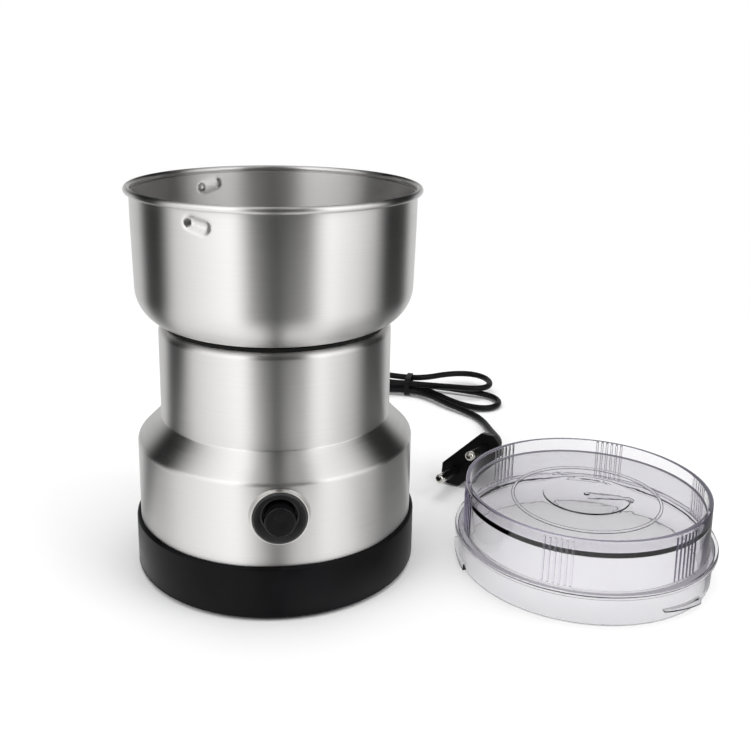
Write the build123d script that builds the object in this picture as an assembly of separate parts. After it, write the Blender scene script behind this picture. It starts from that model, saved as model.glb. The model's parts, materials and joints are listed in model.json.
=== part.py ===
from build123d import *
import math
import os

os.makedirs("parts", exist_ok=True)

# Electric kitchen grinder. Z is up, the button faces -Y, and the origin is the
# middle of the rubber ring that the grinder stands on. Sizes are millimetres.

# Case
base_lip = 1.5
base_top = 20.8
base_wall = 2.2
base_edge_fillet = 1.0
web_thickness = 2.6
web_margin = 0.5
ledge_depth = 1.4
housing_height = 30.9
shoulder_depth = 8.9
shoulder_rise = 8.8
shoulder_fillet = 4.0
crease_fillet = 0.8
motor_room = 6.3
deck_fillet = 2.4
deck_hole_radius = 15.0
sheet = 0.8

# Foot ring and bottom plate
foot_drop = 1.0
foot_groove = 1.5
foot_inset = 1.8
foot_width = 4.5
plate_thickness = 3.2
vent_count = 20
vent_width = 2.6
vent_inner_radius = 15.0
vent_outer_radius = 33.0
boss_radius = 4.0
boss_gap = 1.5
boss_angles = (45, 135, 225, 315)

# Screws
screw_radius = 1.5
screw_head_radius = 2.8
screw_head_height = 1.6
screw_recess = 0.4
screw_bite = 9.0
screw_slot_width = 0.7
screw_slot_depth = 0.7

# Bowl
bowl_top_radius = 52.9
bowl_depth = 51.2
bowl_draft = 1.1
bowl_corner_radius = 14.3
rim_roll = 2.0
rim_bead_radius = 1.25
bowl_hole_radius = 7.0
dimple_count = 3
dimple_azimuth = -30
dimple_drop = 7.3
dimple_half_length = 5.2
dimple_half_height = 2.7
dimple_lean = 14
gasket_thickness = 1.2
gasket_inset = 0.2
gasket_inner_radius = 15.5
bowl_screw_circle = 22.0
bowl_screw_angles = (30, 150, 270)
seal_flange_radius = 10.0
seal_flange = 1.4

# Carrier under the deck, with the pillars that hold the case together
carrier_height = 6.6
carrier_skin = 2.4
carrier_rib = 2.0
carrier_rib_count = 12
carrier_hub_wall = 2.4
pillar_radius = 3.4
pillar_gap = 0.5
pillar_angles = (59.5, 120.5, 239.5, 300.5)

# Motor
shaft_radius = 3.0
bearing_radius = 9.5
bearing_height = 6.0
bearing_ring = 2.0
bearing_shield_step = 0.5
bracket_plate = 3.0
bracket_window_radius = 6.0
bracket_window_circle = 22.5
hub_wall = 2.6
hub_floor = 2.0
damper_height = 2.0
damper_radius = 4.5
damper_circle = 30.0
damper_angles = (0, 90, 180, 270)
leg_radius = 3.4
leg_angles = (36, 144, 216, 324)
motor_floor_gap = 1.6
stack_height = 24.0
yoke_width = 4.5
pole_neck_width = 18.0
pole_shoe = 4.0
pole_gap = 9.5
air_gap = 0.6
coil_width = 4.0
coil_depth = 5.0
coil_clearance = 0.4
coil_room = 0.6
armature_radius = 19.0
slot_count = 12
slot_radius = 2.6
slot_circle = 13.5
slot_mouth = 1.6
wire_gap = 0.3
winding_overhang = 5.6
winding_inner_radius = 8.0
winding_outer_radius = 17.2
commutator_radius = 10.0
commutator_bars = 12
commutator_slit = 0.5
commutator_slit_depth = 0.8
riser_radius = 11.4
riser_height = 1.4
commutator_gap = 1.6
washer_radius = 6.5
washer_height = 0.8
fan_radius = 24.0
fan_disc = 1.2
fan_height = 4.8
fan_hub_radius = 6.0
fan_blade = 1.0
fan_blade_count = 12
fan_blade_lean = 25
fan_gap = 1.0
fan_clearance = 2.0

# Brushes
brush_width = 5.0
brush_height = 8.0
brush_length = 11.0
brush_gap = 0.3
brush_margin = 1.4
holder_wall = 2.0
holder_length = 20.0
holder_lift = 4.0
brush_wire_radius = 0.25
brush_spring_radius = 1.9
brush_spring_turns = 5

# Blades
blade_thickness = 1.4
blade_width = 11.0
lower_blade_reach = 39.0
upper_blade_reach = 33.0
blade_flat = 17.0
lower_blade_lift = 6.0
upper_blade_lift = 10.0
blade_twist = 90
blade_bevel = 1.0
blade_hub_radius = 6.0
blade_height = 7.2
nut_flats = 10.0
nut_height = 5.0
nut_dome = 2.2
thread_radius = 2.9

# Button and switch
button_rise_share = 0.62
bezel_radius = 9.45
bezel_proud = 1.8
bezel_lip = 0.45
dish_depth = 2.4
dish_floor_radius = 6.9
bezel_web = 1.5
sleeve_radius = 8.7
sleeve_bore = 7.6
sleeve_depth = 9.0
collar_proud = 1.4
collar_lip = 0.6
collar_flare = 1.0
cap_radius = 5.5
cap_proud = 3.2
cap_edge_fillet = 0.7
cap_hole_gap = 0.7
cap_flange_radius = 7.2
cap_flange = 1.5
cap_rest_gap = 0.3
stem_radius = 2.0
stem_reach = 1.0
button_travel = 3.0
switch_width = 15.0
switch_depth = 9.0
switch_edge_fillet = 1.0
nut_ring_radius = 11.2
nut_ring_height = 3.2
nut_ring_notches = 6
nut_ring_notch = 2.0
button_wire_radius = 0.22
button_spring_radius = 4.6
button_spring_turns = 4
terminal_width = 4.0
terminal_thickness = 0.8
terminal_length = 8.0
terminal_spread = 4.0
terminal_eye_radius = 0.9
terminal_eye_share = 0.6

# Lid, standing open side down beside the grinder
lid_x = 121.8
lid_y = -18.3
lid_height = 32.0
lid_wall = 1.8
lid_fit = 0.7
drum_inset = 2.0
drum_draft = 0.3
flange_lip = 1.7
flange_top = 13.1
flange_thickness = 2.1
flange_edge_fillet = 0.6
skirt_draft = 0.2
lid_recess = 5.0
disc_step_radius = 17.0
disc_step = 0.5
gate_radius = 1.1
gate_height = 0.6
under_ring_radius = 29.5
under_ring_width = 1.2
under_ring_height = 0.8
grip_groups = 6
grip_ribs = 6
grip_pitch = 2.1
grip_rib_radius = 0.55
grip_azimuth = -30
grip_end_gap = 1.0
ramp_count = 3
ramp_azimuth = 28
ramp_length = 20.0
ramp_drop = 3.2
ramp_tip = 0.7
ramp_heel = 2.6
ramp_low = 1.2
ramp_reach = 1.5

# Cord, gland and plug
cord_radius = 1.7
gland_flange_radius = 5.6
gland_flange = 1.8
gland_length = 24.0
gland_root_radius = 4.2
gland_tip_radius = 2.6
gland_neck_radius = 4.2
gland_collar_lip = 1.2
gland_grooves = 5
gland_groove_width = 1.5
gland_groove_depth = 0.7
plug_width = 33.0
plug_thickness = 13.0
plug_end_half = 2.2
plug_front = 4.0
plug_taper = 20.0
plug_back_width = 13.0
plug_back_thickness = 9.6
plug_relief_length = 6.0
plug_relief_radius = 3.6
plug_relief_tip_radius = 2.5
pin_radius = 2.0
pin_spacing = 18.6
pin_length = 19.0
pin_sleeve_length = 10.0
pin_sleeve_radius = 1.95
pin_core_radius = 1.5
pin_root = 4.0
pin_nose_share = 0.6
plug_x = 89.3
plug_y = 49.2
plug_heading = 55.4
plug_tilt = 9.5
plug_floor_gap = 0.1

# Cord hank: loops laid in a pile, drawn in at the tie
hank_x = 81.0
hank_y = 180.5
hank_heading = -18
hank_right = 54.0
hank_left = 70.0
hank_stagger = 10.0
hank_swell = 24.0
hank_swell_power_share = 1.5
hank_waist = 6.0
hank_step = 5.2
hank_layers = 2
hank_layer_pitch = 4.2
hank_fan_angle = 31
hank_bend_share = 0.5
hank_peel = 1.0
hank_lead_share = 0.08
hank_climb_start_share = 0.9
hank_climb_share = 0.35
hank_probe_share = 0.001
hank_apart_share = 0.18
hank_samples = 16
hank_probes = 320
hank_floor_gap = 0.15
tie_width = 3.0
tie_thickness = 0.8
tie_gap = 0.35
cord_arc_share = 0.45
cord_lead = 10.2
plug_lead = 8.0

# Clearances and the overrun of every cut
clearance = 0.3
running_gap = 0.05
seat_gap = 0.1
overrun = 2.0

# Radii that follow from the sizes above, from the motor outwards
stator_bore = armature_radius + air_gap
coil_start = stator_bore + pole_shoe + coil_clearance
coil_half_width = pole_neck_width / 2 + coil_clearance + coil_width
cavity_radius = math.hypot(coil_start + coil_depth + coil_room, coil_half_width)
stator_radius = cavity_radius + yoke_width
stator_flat = coil_start + yoke_width
leg_circle = stator_radius - yoke_width / 2
hub_radius = bearing_radius + hub_wall
bracket_radius = damper_circle + damper_radius
neck_radius = stator_radius + motor_room + sheet
pillar_circle = neck_radius - sheet - pillar_gap - pillar_radius
housing_radius = neck_radius + shoulder_depth
base_radius = housing_radius + base_lip
base_inner_radius = base_radius - base_wall
foot_outer_radius = base_inner_radius - foot_inset
foot_inner_radius = foot_outer_radius - foot_width
boss_circle = foot_inner_radius - boss_gap - boss_radius
web_inner_radius = boss_circle - boss_radius - web_margin
gasket_radius = neck_radius - deck_fillet - gasket_inset
bowl_low_radius = bowl_top_radius - bowl_draft
rim_radius = bowl_top_radius + rim_roll
flange_radius = bowl_top_radius - sheet - lid_fit
skirt_radius = flange_radius - flange_lip
drum_radius = skirt_radius - drum_inset
bezel_front = housing_radius + bezel_proud
collar_front = housing_radius + collar_proud
sleeve_back = housing_radius - sleeve_depth
gland_collar_radius = gland_neck_radius + gland_collar_lip

# Heights that follow from the sizes above, from the floor up
plate_top = foot_drop + plate_thickness
web_top = base_top - ledge_depth
web_bottom = web_top - web_thickness
gland_height = (plate_top + web_bottom) / 2
shoulder_edge = base_top + housing_height
button_height = base_top + housing_height * button_rise_share
neck_foot = shoulder_edge + shoulder_rise
floor_bottom = web_top + motor_floor_gap
floor_top = floor_bottom + bracket_plate
lower_bearing_top = floor_top - hub_floor / 2
lower_bearing_bottom = lower_bearing_top - bearing_height
shaft_bottom = lower_bearing_bottom + clearance
commutator_bottom = floor_top + holder_lift
commutator_top = commutator_bottom + brush_height + brush_margin + riser_height
winding_bottom = commutator_top + commutator_gap
stack_bottom = winding_bottom + winding_overhang
stack_top = stack_bottom + stack_height
winding_top = stack_top + winding_overhang
fan_bottom = winding_top + fan_gap
fan_top = fan_bottom + fan_height
bracket_bottom = fan_top + fan_clearance
bracket_top = bracket_bottom + bracket_plate
upper_bearing_bottom = bracket_bottom + hub_floor
carrier_bottom = bracket_top + damper_height
deck_under = carrier_bottom + carrier_height
deck_top = deck_under + sheet
bowl_floor = deck_top + gasket_thickness
bowl_inside = bowl_floor + sheet
rim_height = bowl_floor + bowl_depth
blade_bottom = bowl_inside + blade_height
nut_bottom = blade_bottom + 2 * blade_thickness + washer_height
shaft_top = nut_bottom + nut_height

UP = (Align.CENTER, Align.CENTER, Align.MIN)


def disc(radius, bottom, top):
    """Upright cylinder on the Z axis between two heights."""
    return Pos(0, 0, bottom) * Cylinder(radius, top - bottom, align=UP)


def tube(outer, inner, bottom, top):
    """Upright pipe on the Z axis between two heights."""
    return disc(outer, bottom, top) - disc(inner, bottom - overrun, top + overrun)


def post(x, y, radius, bottom, top):
    """Upright cylinder beside the axis."""
    return Pos(x, y, 0) * disc(radius, bottom, top)


def turned(*outline):
    """Solid of revolution about Z from (radius, height) corners."""
    return revolve(Plane.XZ * make_face(Polyline(*outline, close=True)), Axis.Z)


def on_circle(radius, angles):
    """Places on a circle about the Z axis."""
    return [(radius * math.cos(math.radians(a)), radius * math.sin(math.radians(a))) for a in angles]


def around(shape, count, start=0):
    """Copies of a shape spread evenly about Z."""
    return [Rot(0, 0, start + i * 360 / count) * shape for i in range(count)]


def forward(shape):
    """Turn a shape made along +Z so that it runs along +Y at the button's height."""
    return Pos(0, 0, button_height) * Rot(-90, 0, 0) * shape


def screw(length):
    """Round-headed screw with its head under z = 0 and its point up."""
    body = disc(screw_radius, 0, length) + disc(screw_head_radius, -screw_head_height, 0)
    slot = Pos(0, 0, -screw_head_height) * Box(2 * screw_head_radius, screw_slot_width, 2 * screw_slot_depth)
    return body - slot


def biarc_path(points, headings):
    """Smooth path of arcs through points, with a given heading at each."""
    arcs = []
    for i in range(len(points) - 1):
        chord = points[i + 1] - points[i]
        bend = 2 * (1 - headings[i].dot(headings[i + 1]))
        run = chord.dot(headings[i] + headings[i + 1])
        reach = (math.sqrt(run**2 + bend * chord.dot(chord)) - run) / bend
        near = points[i] + headings[i] * reach
        far = points[i + 1] - headings[i + 1] * reach
        joint = (near + far) * 0.5
        arcs.append(TangentArc(points[i], joint, tangent=headings[i]))
        arcs.append(TangentArc(joint, points[i + 1], tangent=(far - near).normalized()))
    return arcs


def coil_spring(radius, wire, turns, length):
    """Open spring wound about Z, one unbroken wire in quarter-turn biarcs."""
    rise = length - 2 * wire
    steps = 4 * turns
    points = []
    headings = []
    for i in range(steps + 1):
        angle = i * math.pi / 2
        points.append(Vector(radius * math.cos(angle), radius * math.sin(angle), wire + rise * i / steps))
        slope = rise / (2 * math.pi * turns)
        headings.append(Vector(-radius * math.sin(angle), radius * math.cos(angle), slope).normalized())
    path = Wire(biarc_path(points, headings))
    return sweep(Plane(points[0], z_dir=headings[0]) * Circle(wire), path=path)


# Base

def foot_ring():
    return tube(foot_outer_radius, foot_inner_radius, 0, foot_drop + foot_groove)


def base_plate():
    plate = disc(base_inner_radius - clearance, foot_drop, plate_top)
    plate -= tube(foot_outer_radius + seat_gap, foot_inner_radius - seat_gap, 0, foot_drop + foot_groove)
    slot_length = vent_outer_radius - vent_inner_radius
    slot = Pos((vent_inner_radius + vent_outer_radius) / 2, 0) * SlotOverall(slot_length, vent_width)
    plate -= around(Pos(0, 0, -overrun) * extrude(slot, plate_top + 2 * overrun), vent_count)
    head_top = foot_drop + screw_recess + screw_head_height
    for x, y in on_circle(boss_circle, boss_angles):
        plate -= post(x, y, screw_radius + clearance, 0, plate_top + overrun)
        plate -= post(x, y, screw_head_radius + clearance, 0, head_top)
    return plate


def base_cup():
    outline = Polyline(
        (web_inner_radius, web_bottom),
        (base_inner_radius, web_bottom),
        (base_inner_radius, foot_drop),
        (base_radius, foot_drop),
        (base_radius, base_top),
        (housing_radius + seat_gap, base_top),
        (housing_radius + seat_gap, web_top),
        (web_inner_radius, web_top),
        close=True,
    )
    face = make_face(outline)
    outer = face.vertices().filter_by(lambda v: v.X > base_radius - seat_gap)
    cup = revolve(Plane.XZ * fillet(outer, base_edge_fillet), Axis.Z)
    for x, y in on_circle(boss_circle, boss_angles):
        cup += post(x, y, boss_radius, plate_top, web_bottom)
    for x, y in on_circle(boss_circle, boss_angles):
        cup -= post(x, y, screw_radius + seat_gap, plate_top - overrun, plate_top + screw_bite + clearance)
    for x, y in on_circle(pillar_circle, pillar_angles):
        cup += post(x, y, pillar_radius + clearance, web_bottom, web_top)
        cup -= post(x, y, screw_radius + clearance, web_bottom - overrun, web_top + overrun)
    bore = Cylinder(gland_neck_radius + seat_gap, 2 * base_wall + overrun)
    return cup - Pos(0, base_radius - base_wall / 2, gland_height) * Rot(90, 0, 0) * bore


def base_screws():
    head = foot_drop + screw_recess + screw_head_height
    length = plate_top + screw_bite - head
    return [Pos(x, y, head) * screw(length) for x, y in on_circle(boss_circle, boss_angles)]


def case_screws():
    length = web_thickness + screw_bite
    return [Pos(x, y, web_bottom) * screw(length) for x, y in on_circle(pillar_circle, pillar_angles)]


# Steel case and bowl

def housing_shell():
    path = FilletPolyline(
        (housing_radius, web_top),
        (housing_radius, shoulder_edge),
        (neck_radius, neck_foot),
        (neck_radius, deck_top),
        (deck_hole_radius, deck_top),
        radius=[shoulder_fillet, crease_fillet, deck_fillet],
    )
    wall = make_face(offset(path, sheet, side=Side.LEFT, closed=True))
    shell = revolve(Plane.XZ * wall, Axis.Z)
    lip = bezel_radius + collar_lip
    depth = collar_front - housing_radius + 2 * sheet
    collar = Pos(0, 0, -collar_front) * Cone(lip, lip + collar_flare, depth, align=UP)
    inside = disc(housing_radius - sheet, web_top, shoulder_edge)
    bore = Pos(0, 0, -collar_front - overrun) * Cylinder(sleeve_radius + clearance, housing_radius, align=UP)
    seat = Pos(0, 0, -collar_front - overrun) * Cylinder(bezel_radius + seat_gap, overrun + sheet, align=UP)
    shell = shell + (forward(collar) - inside) - forward(bore) - forward(seat)
    for x, y in on_circle(bowl_screw_circle, bowl_screw_angles):
        shell -= post(x, y, screw_radius + clearance, deck_under - overrun, deck_top + overrun)
    return shell


def dimple(half_height, half_length):
    """Oval knob on the bowl wall, long side level, on the +X side."""
    crown = EllipticalCenterArc((0, 0), half_length, half_height, start_angle=0, arc_size=180)
    half = make_face([crown, Line((half_length, 0), (-half_length, 0))])
    knob = Rot(0, 0, 90) * revolve(Plane.XZ * half, Axis.X)
    drop = (rim_height - dimple_drop - bowl_floor) / (rim_height - bowl_floor)
    radius = bowl_low_radius + (bowl_top_radius - bowl_low_radius) * drop
    return Pos(radius, 0, rim_height - dimple_drop) * Rot(dimple_lean, 0, 0) * knob


def bowl():
    wall_top = rim_height - rim_bead_radius
    path = FilletPolyline(
        (bowl_hole_radius, bowl_floor),
        (bowl_low_radius, bowl_floor),
        (bowl_top_radius, wall_top),
        radius=bowl_corner_radius,
    )
    wall = make_face(offset(path, sheet, side=Side.LEFT, closed=True))
    bead = Pos(rim_radius - rim_bead_radius, wall_top) * Circle(rim_bead_radius)
    shell = revolve(Plane.XZ * (wall + bead), Axis.Z)
    outside = disc(bowl_top_radius - sheet, bowl_floor, rim_height)
    for knob in around(dimple(dimple_half_height, dimple_half_length), dimple_count, dimple_azimuth - 90):
        shell += knob & outside
    for dent in around(
        dimple(dimple_half_height - sheet, dimple_half_length - sheet), dimple_count, dimple_azimuth - 90
    ):
        shell -= dent
    for x, y in on_circle(bowl_screw_circle, bowl_screw_angles):
        shell -= post(x, y, screw_radius + clearance, bowl_floor - overrun, bowl_inside + overrun)
    return shell


def bowl_gasket():
    pad = tube(gasket_radius, gasket_inner_radius, deck_top, bowl_floor)
    for x, y in on_circle(bowl_screw_circle, bowl_screw_angles):
        pad -= post(x, y, screw_radius + clearance, deck_top - overrun, bowl_floor + overrun)
    return pad


def bowl_screws():
    length = bowl_inside - carrier_bottom - clearance
    upside_down = Pos(0, 0, bowl_inside) * Rot(180, 0, 0) * screw(length)
    return [Pos(x, y, 0) * upside_down for x, y in on_circle(bowl_screw_circle, bowl_screw_angles)]


def shaft_seal():
    bore = shaft_radius + running_gap
    neck = bowl_hole_radius - seat_gap
    return turned(
        (bore, bowl_floor - seal_flange),
        (seal_flange_radius, bowl_floor - seal_flange),
        (seal_flange_radius, bowl_floor),
        (neck, bowl_floor),
        (neck, bowl_inside),
        (seal_flange_radius, bowl_inside),
        (neck, bowl_inside + seal_flange),
        (bore, bowl_inside + 2 * seal_flange),
    )


# Carrier and motor frame

def bowl_carrier():
    rim = neck_radius - deck_fillet - clearance
    skin_bottom = deck_under - carrier_skin
    hub_hole = hub_radius + clearance
    plate = tube(rim, hub_hole, skin_bottom, deck_under)
    plate += tube(rim, rim - carrier_rib, carrier_bottom, deck_under)
    plate += tube(hub_hole + carrier_hub_wall, hub_hole, carrier_bottom, deck_under)
    rib_length = rim - hub_hole - carrier_rib
    rib = Box(rib_length, carrier_rib, carrier_height, align=(Align.MIN, Align.CENTER, Align.MIN))
    plate += around(Pos(hub_hole + carrier_rib / 2, 0, carrier_bottom) * rib, carrier_rib_count)
    for x, y in on_circle(damper_circle, damper_angles):
        plate += post(x, y, damper_radius, carrier_bottom, deck_under)
    for x, y in on_circle(bowl_screw_circle, bowl_screw_angles):
        plate += post(x, y, boss_radius, carrier_bottom, deck_under)
    for x, y in on_circle(pillar_circle, pillar_angles):
        plate += post(x, y, pillar_radius, web_top, deck_under - carrier_skin / 2)
    for x, y in on_circle(bowl_screw_circle, bowl_screw_angles):
        plate -= post(x, y, screw_radius + seat_gap, carrier_bottom - overrun, deck_under + overrun)
    for x, y in on_circle(pillar_circle, pillar_angles):
        plate -= post(x, y, screw_radius + seat_gap, web_top - overrun, web_top + screw_bite + clearance)
    for x, y in on_circle(damper_circle, damper_angles):
        plate -= post(x, y, screw_radius + seat_gap, carrier_bottom - overrun, deck_under - seat_gap)
    return plate


def motor_dampers():
    pad = tube(damper_radius, screw_radius + seat_gap, bracket_top, carrier_bottom)
    return [Pos(x, y, 0) * pad for x, y in on_circle(damper_circle, damper_angles)]


def bracket_screws():
    length = deck_under - bracket_bottom - clearance
    return [
        Pos(x, y, bracket_bottom) * screw(length)
        for x, y in on_circle(damper_circle, damper_angles)
    ]


def bracket_disc(bottom, top):
    """Plate of a motor bracket, with lugs for the legs and windows for the air."""
    plate = disc(bracket_radius, bottom, top)
    for x, y in on_circle(leg_circle, leg_angles):
        plate += post(x, y, leg_radius, bottom, top)
    for x, y in on_circle(bracket_window_circle, (45, 135, 225, 315)):
        plate -= post(x, y, bracket_window_radius, bottom - overrun, top + overrun)
    return plate


def upper_motor_bracket():
    bearing_top = upper_bearing_bottom + bearing_height
    frame = bracket_disc(bracket_bottom, bracket_top)
    frame += disc(hub_radius, bracket_bottom, bearing_top)
    for x, y in on_circle(leg_circle, leg_angles):
        frame += post(x, y, leg_radius, stack_top, bracket_top)
    frame -= disc(bearing_radius + seat_gap, upper_bearing_bottom, bearing_top + overrun)
    frame -= disc(bearing_radius - bearing_ring, bracket_bottom - overrun, upper_bearing_bottom + overrun)
    for x, y in on_circle(leg_circle, leg_angles):
        frame -= post(x, y, screw_radius + seat_gap, stack_top - overrun, stack_top + screw_bite + clearance)
    for x, y in on_circle(damper_circle, damper_angles):
        frame -= post(x, y, screw_radius + seat_gap, bracket_bottom - overrun, bracket_top + overrun)
    return frame


def lower_motor_bracket():
    frame = bracket_disc(floor_bottom, floor_top)
    frame += disc(hub_radius, lower_bearing_bottom - hub_floor, floor_top)
    for x, y in on_circle(leg_circle, leg_angles):
        frame += post(x, y, leg_radius, floor_bottom, stack_bottom)
    frame -= disc(bearing_radius + seat_gap, lower_bearing_bottom, floor_top + overrun)
    for x, y in on_circle(leg_circle, leg_angles):
        frame -= post(x, y, screw_radius + seat_gap, floor_bottom - overrun, stack_bottom + overrun)
    return frame


def motor_screws():
    length = stack_top + screw_bite - floor_bottom
    return [Pos(x, y, floor_bottom) * screw(length) for x, y in on_circle(leg_circle, leg_angles)]


def bearing(bottom):
    """Shielded ball bearing standing on a height."""
    bore = shaft_radius + running_gap
    inner = bore + bearing_ring
    outer = bearing_radius - bearing_ring
    top = bottom + bearing_height
    return turned(
        (bore, bottom),
        (inner, bottom),
        (inner, bottom + bearing_shield_step),
        (outer, bottom + bearing_shield_step),
        (outer, bottom),
        (bearing_radius, bottom),
        (bearing_radius, top),
        (outer, top),
        (outer, top - bearing_shield_step),
        (inner, top - bearing_shield_step),
        (inner, top),
        (bore, top),
    )


def stator_core():
    yoke = Circle(stator_radius) & Rectangle(2 * stator_radius, 2 * stator_flat)
    cavity = Circle(cavity_radius) & Rectangle(2 * stator_radius, 2 * (stator_flat - yoke_width))
    shoe_radius = stator_bore + pole_shoe
    shoes = Circle(shoe_radius) - Circle(stator_bore) - Rectangle(2 * pole_gap, 2 * stator_radius)
    neck = Rectangle(2 * (cavity_radius + yoke_width / 2), pole_neck_width)
    neck -= Circle(stator_bore + pole_shoe / 2)
    sheet_outline = yoke - cavity + shoes + neck
    for x, y in on_circle(leg_circle, leg_angles):
        sheet_outline -= Pos(x, y) * Circle(screw_radius + seat_gap)
    return Pos(0, 0, stack_bottom) * extrude(sheet_outline, stack_height)


def field_coils():
    inside = RectangleRounded(
        pole_neck_width + 2 * coil_clearance, stack_height + 2 * coil_clearance, coil_clearance
    )
    outside = RectangleRounded(
        2 * coil_half_width, stack_height + 2 * (coil_clearance + coil_width), coil_width
    )
    coil = Pos(0, 0, stack_bottom + stack_height / 2) * extrude(Plane.YZ * (outside - inside), coil_depth)
    return [Rot(0, 0, a) * Pos(coil_start, 0, 0) * coil for a in (0, 180)]


# Brushes, on the lower motor bracket

def brush_height_mid():
    return (commutator_bottom + commutator_top - riser_height) / 2


def brush_tip():
    return commutator_radius + brush_gap


def pair(shape):
    """A piece made on the +Y side, turned to the +X and -X sides."""
    return [Rot(0, 0, 90) * shape, Rot(0, 0, -90) * shape]


def brush_holders():
    start = brush_tip() + 2 * holder_wall
    width = brush_width + 2 * holder_wall
    top = brush_height_mid() + brush_height / 2 + holder_wall
    along = (Align.CENTER, Align.MIN, Align.MIN)
    block = Pos(0, start, floor_top) * Box(width, holder_length, top - floor_top, align=along)
    channel_width = brush_width + 2 * seat_gap
    channel_height = brush_height + 2 * seat_gap
    channel = Box(channel_width, holder_length, channel_height, align=(Align.CENTER, Align.MIN, Align.CENTER))
    block -= Pos(0, start - holder_wall, brush_height_mid()) * channel
    return pair(block)


def carbon_brushes():
    along = (Align.CENTER, Align.MIN, Align.CENTER)
    brush = Pos(0, 0, brush_height_mid()) * Box(
        brush_width, brush_tip() + brush_length, brush_height, align=along
    )
    return pair(brush - disc(brush_tip(), floor_top, stack_bottom))


def brush_springs():
    start = brush_tip() + brush_length + seat_gap
    end = brush_tip() + 2 * holder_wall + holder_length - holder_wall - seat_gap
    spring = coil_spring(brush_spring_radius, brush_wire_radius, brush_spring_turns, end - start)
    return pair(Pos(0, start, brush_height_mid()) * Rot(-90, 0, 0) * spring)


# Rotor

def motor_shaft():
    return disc(shaft_radius, shaft_bottom, blade_bottom) + disc(thread_radius, blade_bottom, shaft_top)


def armature_core():
    mouth = Pos((slot_circle + armature_radius) / 2, 0) * Rectangle(armature_radius - slot_circle, slot_mouth)
    end = Pos(armature_radius, 0) * Rectangle(slot_mouth, slot_mouth)
    slot = Pos(slot_circle, 0) * Circle(slot_radius) + mouth + end
    outline = Circle(armature_radius) - Circle(shaft_radius + running_gap)
    for i in range(slot_count):
        outline -= Rot(0, 0, i * 360 / slot_count) * slot
    return Pos(0, 0, stack_bottom) * extrude(outline, stack_height)


def armature_winding():
    ends = tube(winding_outer_radius, winding_inner_radius, stack_top + wire_gap, winding_top)
    ends += tube(winding_outer_radius, winding_inner_radius, winding_bottom, stack_bottom - wire_gap)
    bars = around(post(slot_circle, 0, slot_radius - wire_gap, winding_bottom, winding_top), slot_count)
    for bar in bars:
        ends += bar
    return ends


def commutator():
    barrel = disc(commutator_radius, commutator_bottom, commutator_top)
    barrel += disc(riser_radius, commutator_top - riser_height, commutator_top)
    barrel -= disc(shaft_radius + running_gap, commutator_bottom - overrun, commutator_top + overrun)
    slit_reach = riser_radius - commutator_radius + commutator_slit_depth
    slit = Box(slit_reach, commutator_slit, 2 * stack_height, align=(Align.MIN, Align.CENTER, Align.CENTER))
    place = Pos(commutator_radius - commutator_slit_depth, 0, commutator_bottom)
    return barrel - around(place * slit, commutator_bars)


def shaft_washers():
    bore = shaft_radius + running_gap
    low = tube(washer_radius, bore, floor_top + clearance, floor_top + clearance + washer_height)
    top = upper_bearing_bottom - clearance
    return [low, tube(washer_radius, bore, top - washer_height, top)]


def cooling_fan():
    hub = disc(fan_hub_radius, fan_bottom, fan_top) + disc(fan_radius, fan_top - fan_disc, fan_top)
    reach = fan_radius - fan_hub_radius
    blade = Box(reach, fan_blade, fan_height - fan_disc, align=(Align.MIN, Align.CENTER, Align.MIN))
    leaned = Pos(fan_hub_radius, 0, fan_bottom) * Rot(0, 0, fan_blade_lean) * blade
    for vane in around(leaned, fan_blade_count):
        hub += vane & disc(fan_radius, fan_bottom, fan_top)
    return hub - disc(shaft_radius + running_gap, fan_bottom - overrun, fan_top + overrun)


# Blades

def blade(reach, lift, bottom):
    """Two-armed blade with rising, bevelled arms."""
    tip = bottom + lift
    profile = make_face(
        Polyline(
            (0, bottom),
            (blade_flat, bottom),
            (reach, tip),
            (reach, tip + blade_thickness),
            (blade_flat, bottom + blade_thickness),
            (0, bottom + blade_thickness),
            close=True,
        )
    )
    arm = extrude(Plane.XZ * profile, blade_width / 2, both=True)
    plan = Circle(reach) & (Rectangle(2 * reach, blade_width) + Circle(blade_width / 2 + blade_bevel))
    arm &= extrude(Pos(0, 0, bottom - overrun) * plan, lift + 2 * overrun)
    edge = make_face(
        Polyline(
            (-blade_bevel, blade_thickness),
            (0, blade_thickness),
            (0, 0),
            close=True,
        )
    )
    slope = math.degrees(math.atan2(lift, reach - blade_flat))
    run = math.hypot(lift, reach - blade_flat)
    cutter = extrude(Plane.YZ * edge, run + overrun)
    cutter = Pos(blade_flat, blade_width / 2, bottom) * Rot(0, -slope, 0) * cutter
    arm -= cutter
    both = arm + Rot(0, 0, 180) * arm
    return both - disc(thread_radius + running_gap, bottom - overrun, bottom + blade_thickness + overrun)


def lower_blade():
    return blade(lower_blade_reach, lower_blade_lift, blade_bottom)


def upper_blade():
    return Rot(0, 0, blade_twist) * blade(upper_blade_reach, upper_blade_lift, blade_bottom + blade_thickness)


def blade_hub():
    bottom = bowl_inside + 2 * seal_flange + clearance
    return tube(blade_hub_radius, shaft_radius + running_gap, bottom, blade_bottom)


def blade_washer():
    return tube(washer_radius, thread_radius + running_gap, nut_bottom - washer_height, nut_bottom)


def blade_nut():
    flats = RegularPolygon(nut_flats / 2, 6, major_radius=False)
    hexagon = extrude(Pos(0, 0, nut_bottom) * flats, nut_height)
    crown = shaft_top + nut_dome
    dome = turned((0, shaft_top), (nut_flats / 2, shaft_top), (thread_radius, crown), (0, crown))
    return hexagon + dome - disc(thread_radius + running_gap, nut_bottom - overrun, shaft_top + seat_gap)


# Button and switch, on the -Y side

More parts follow.
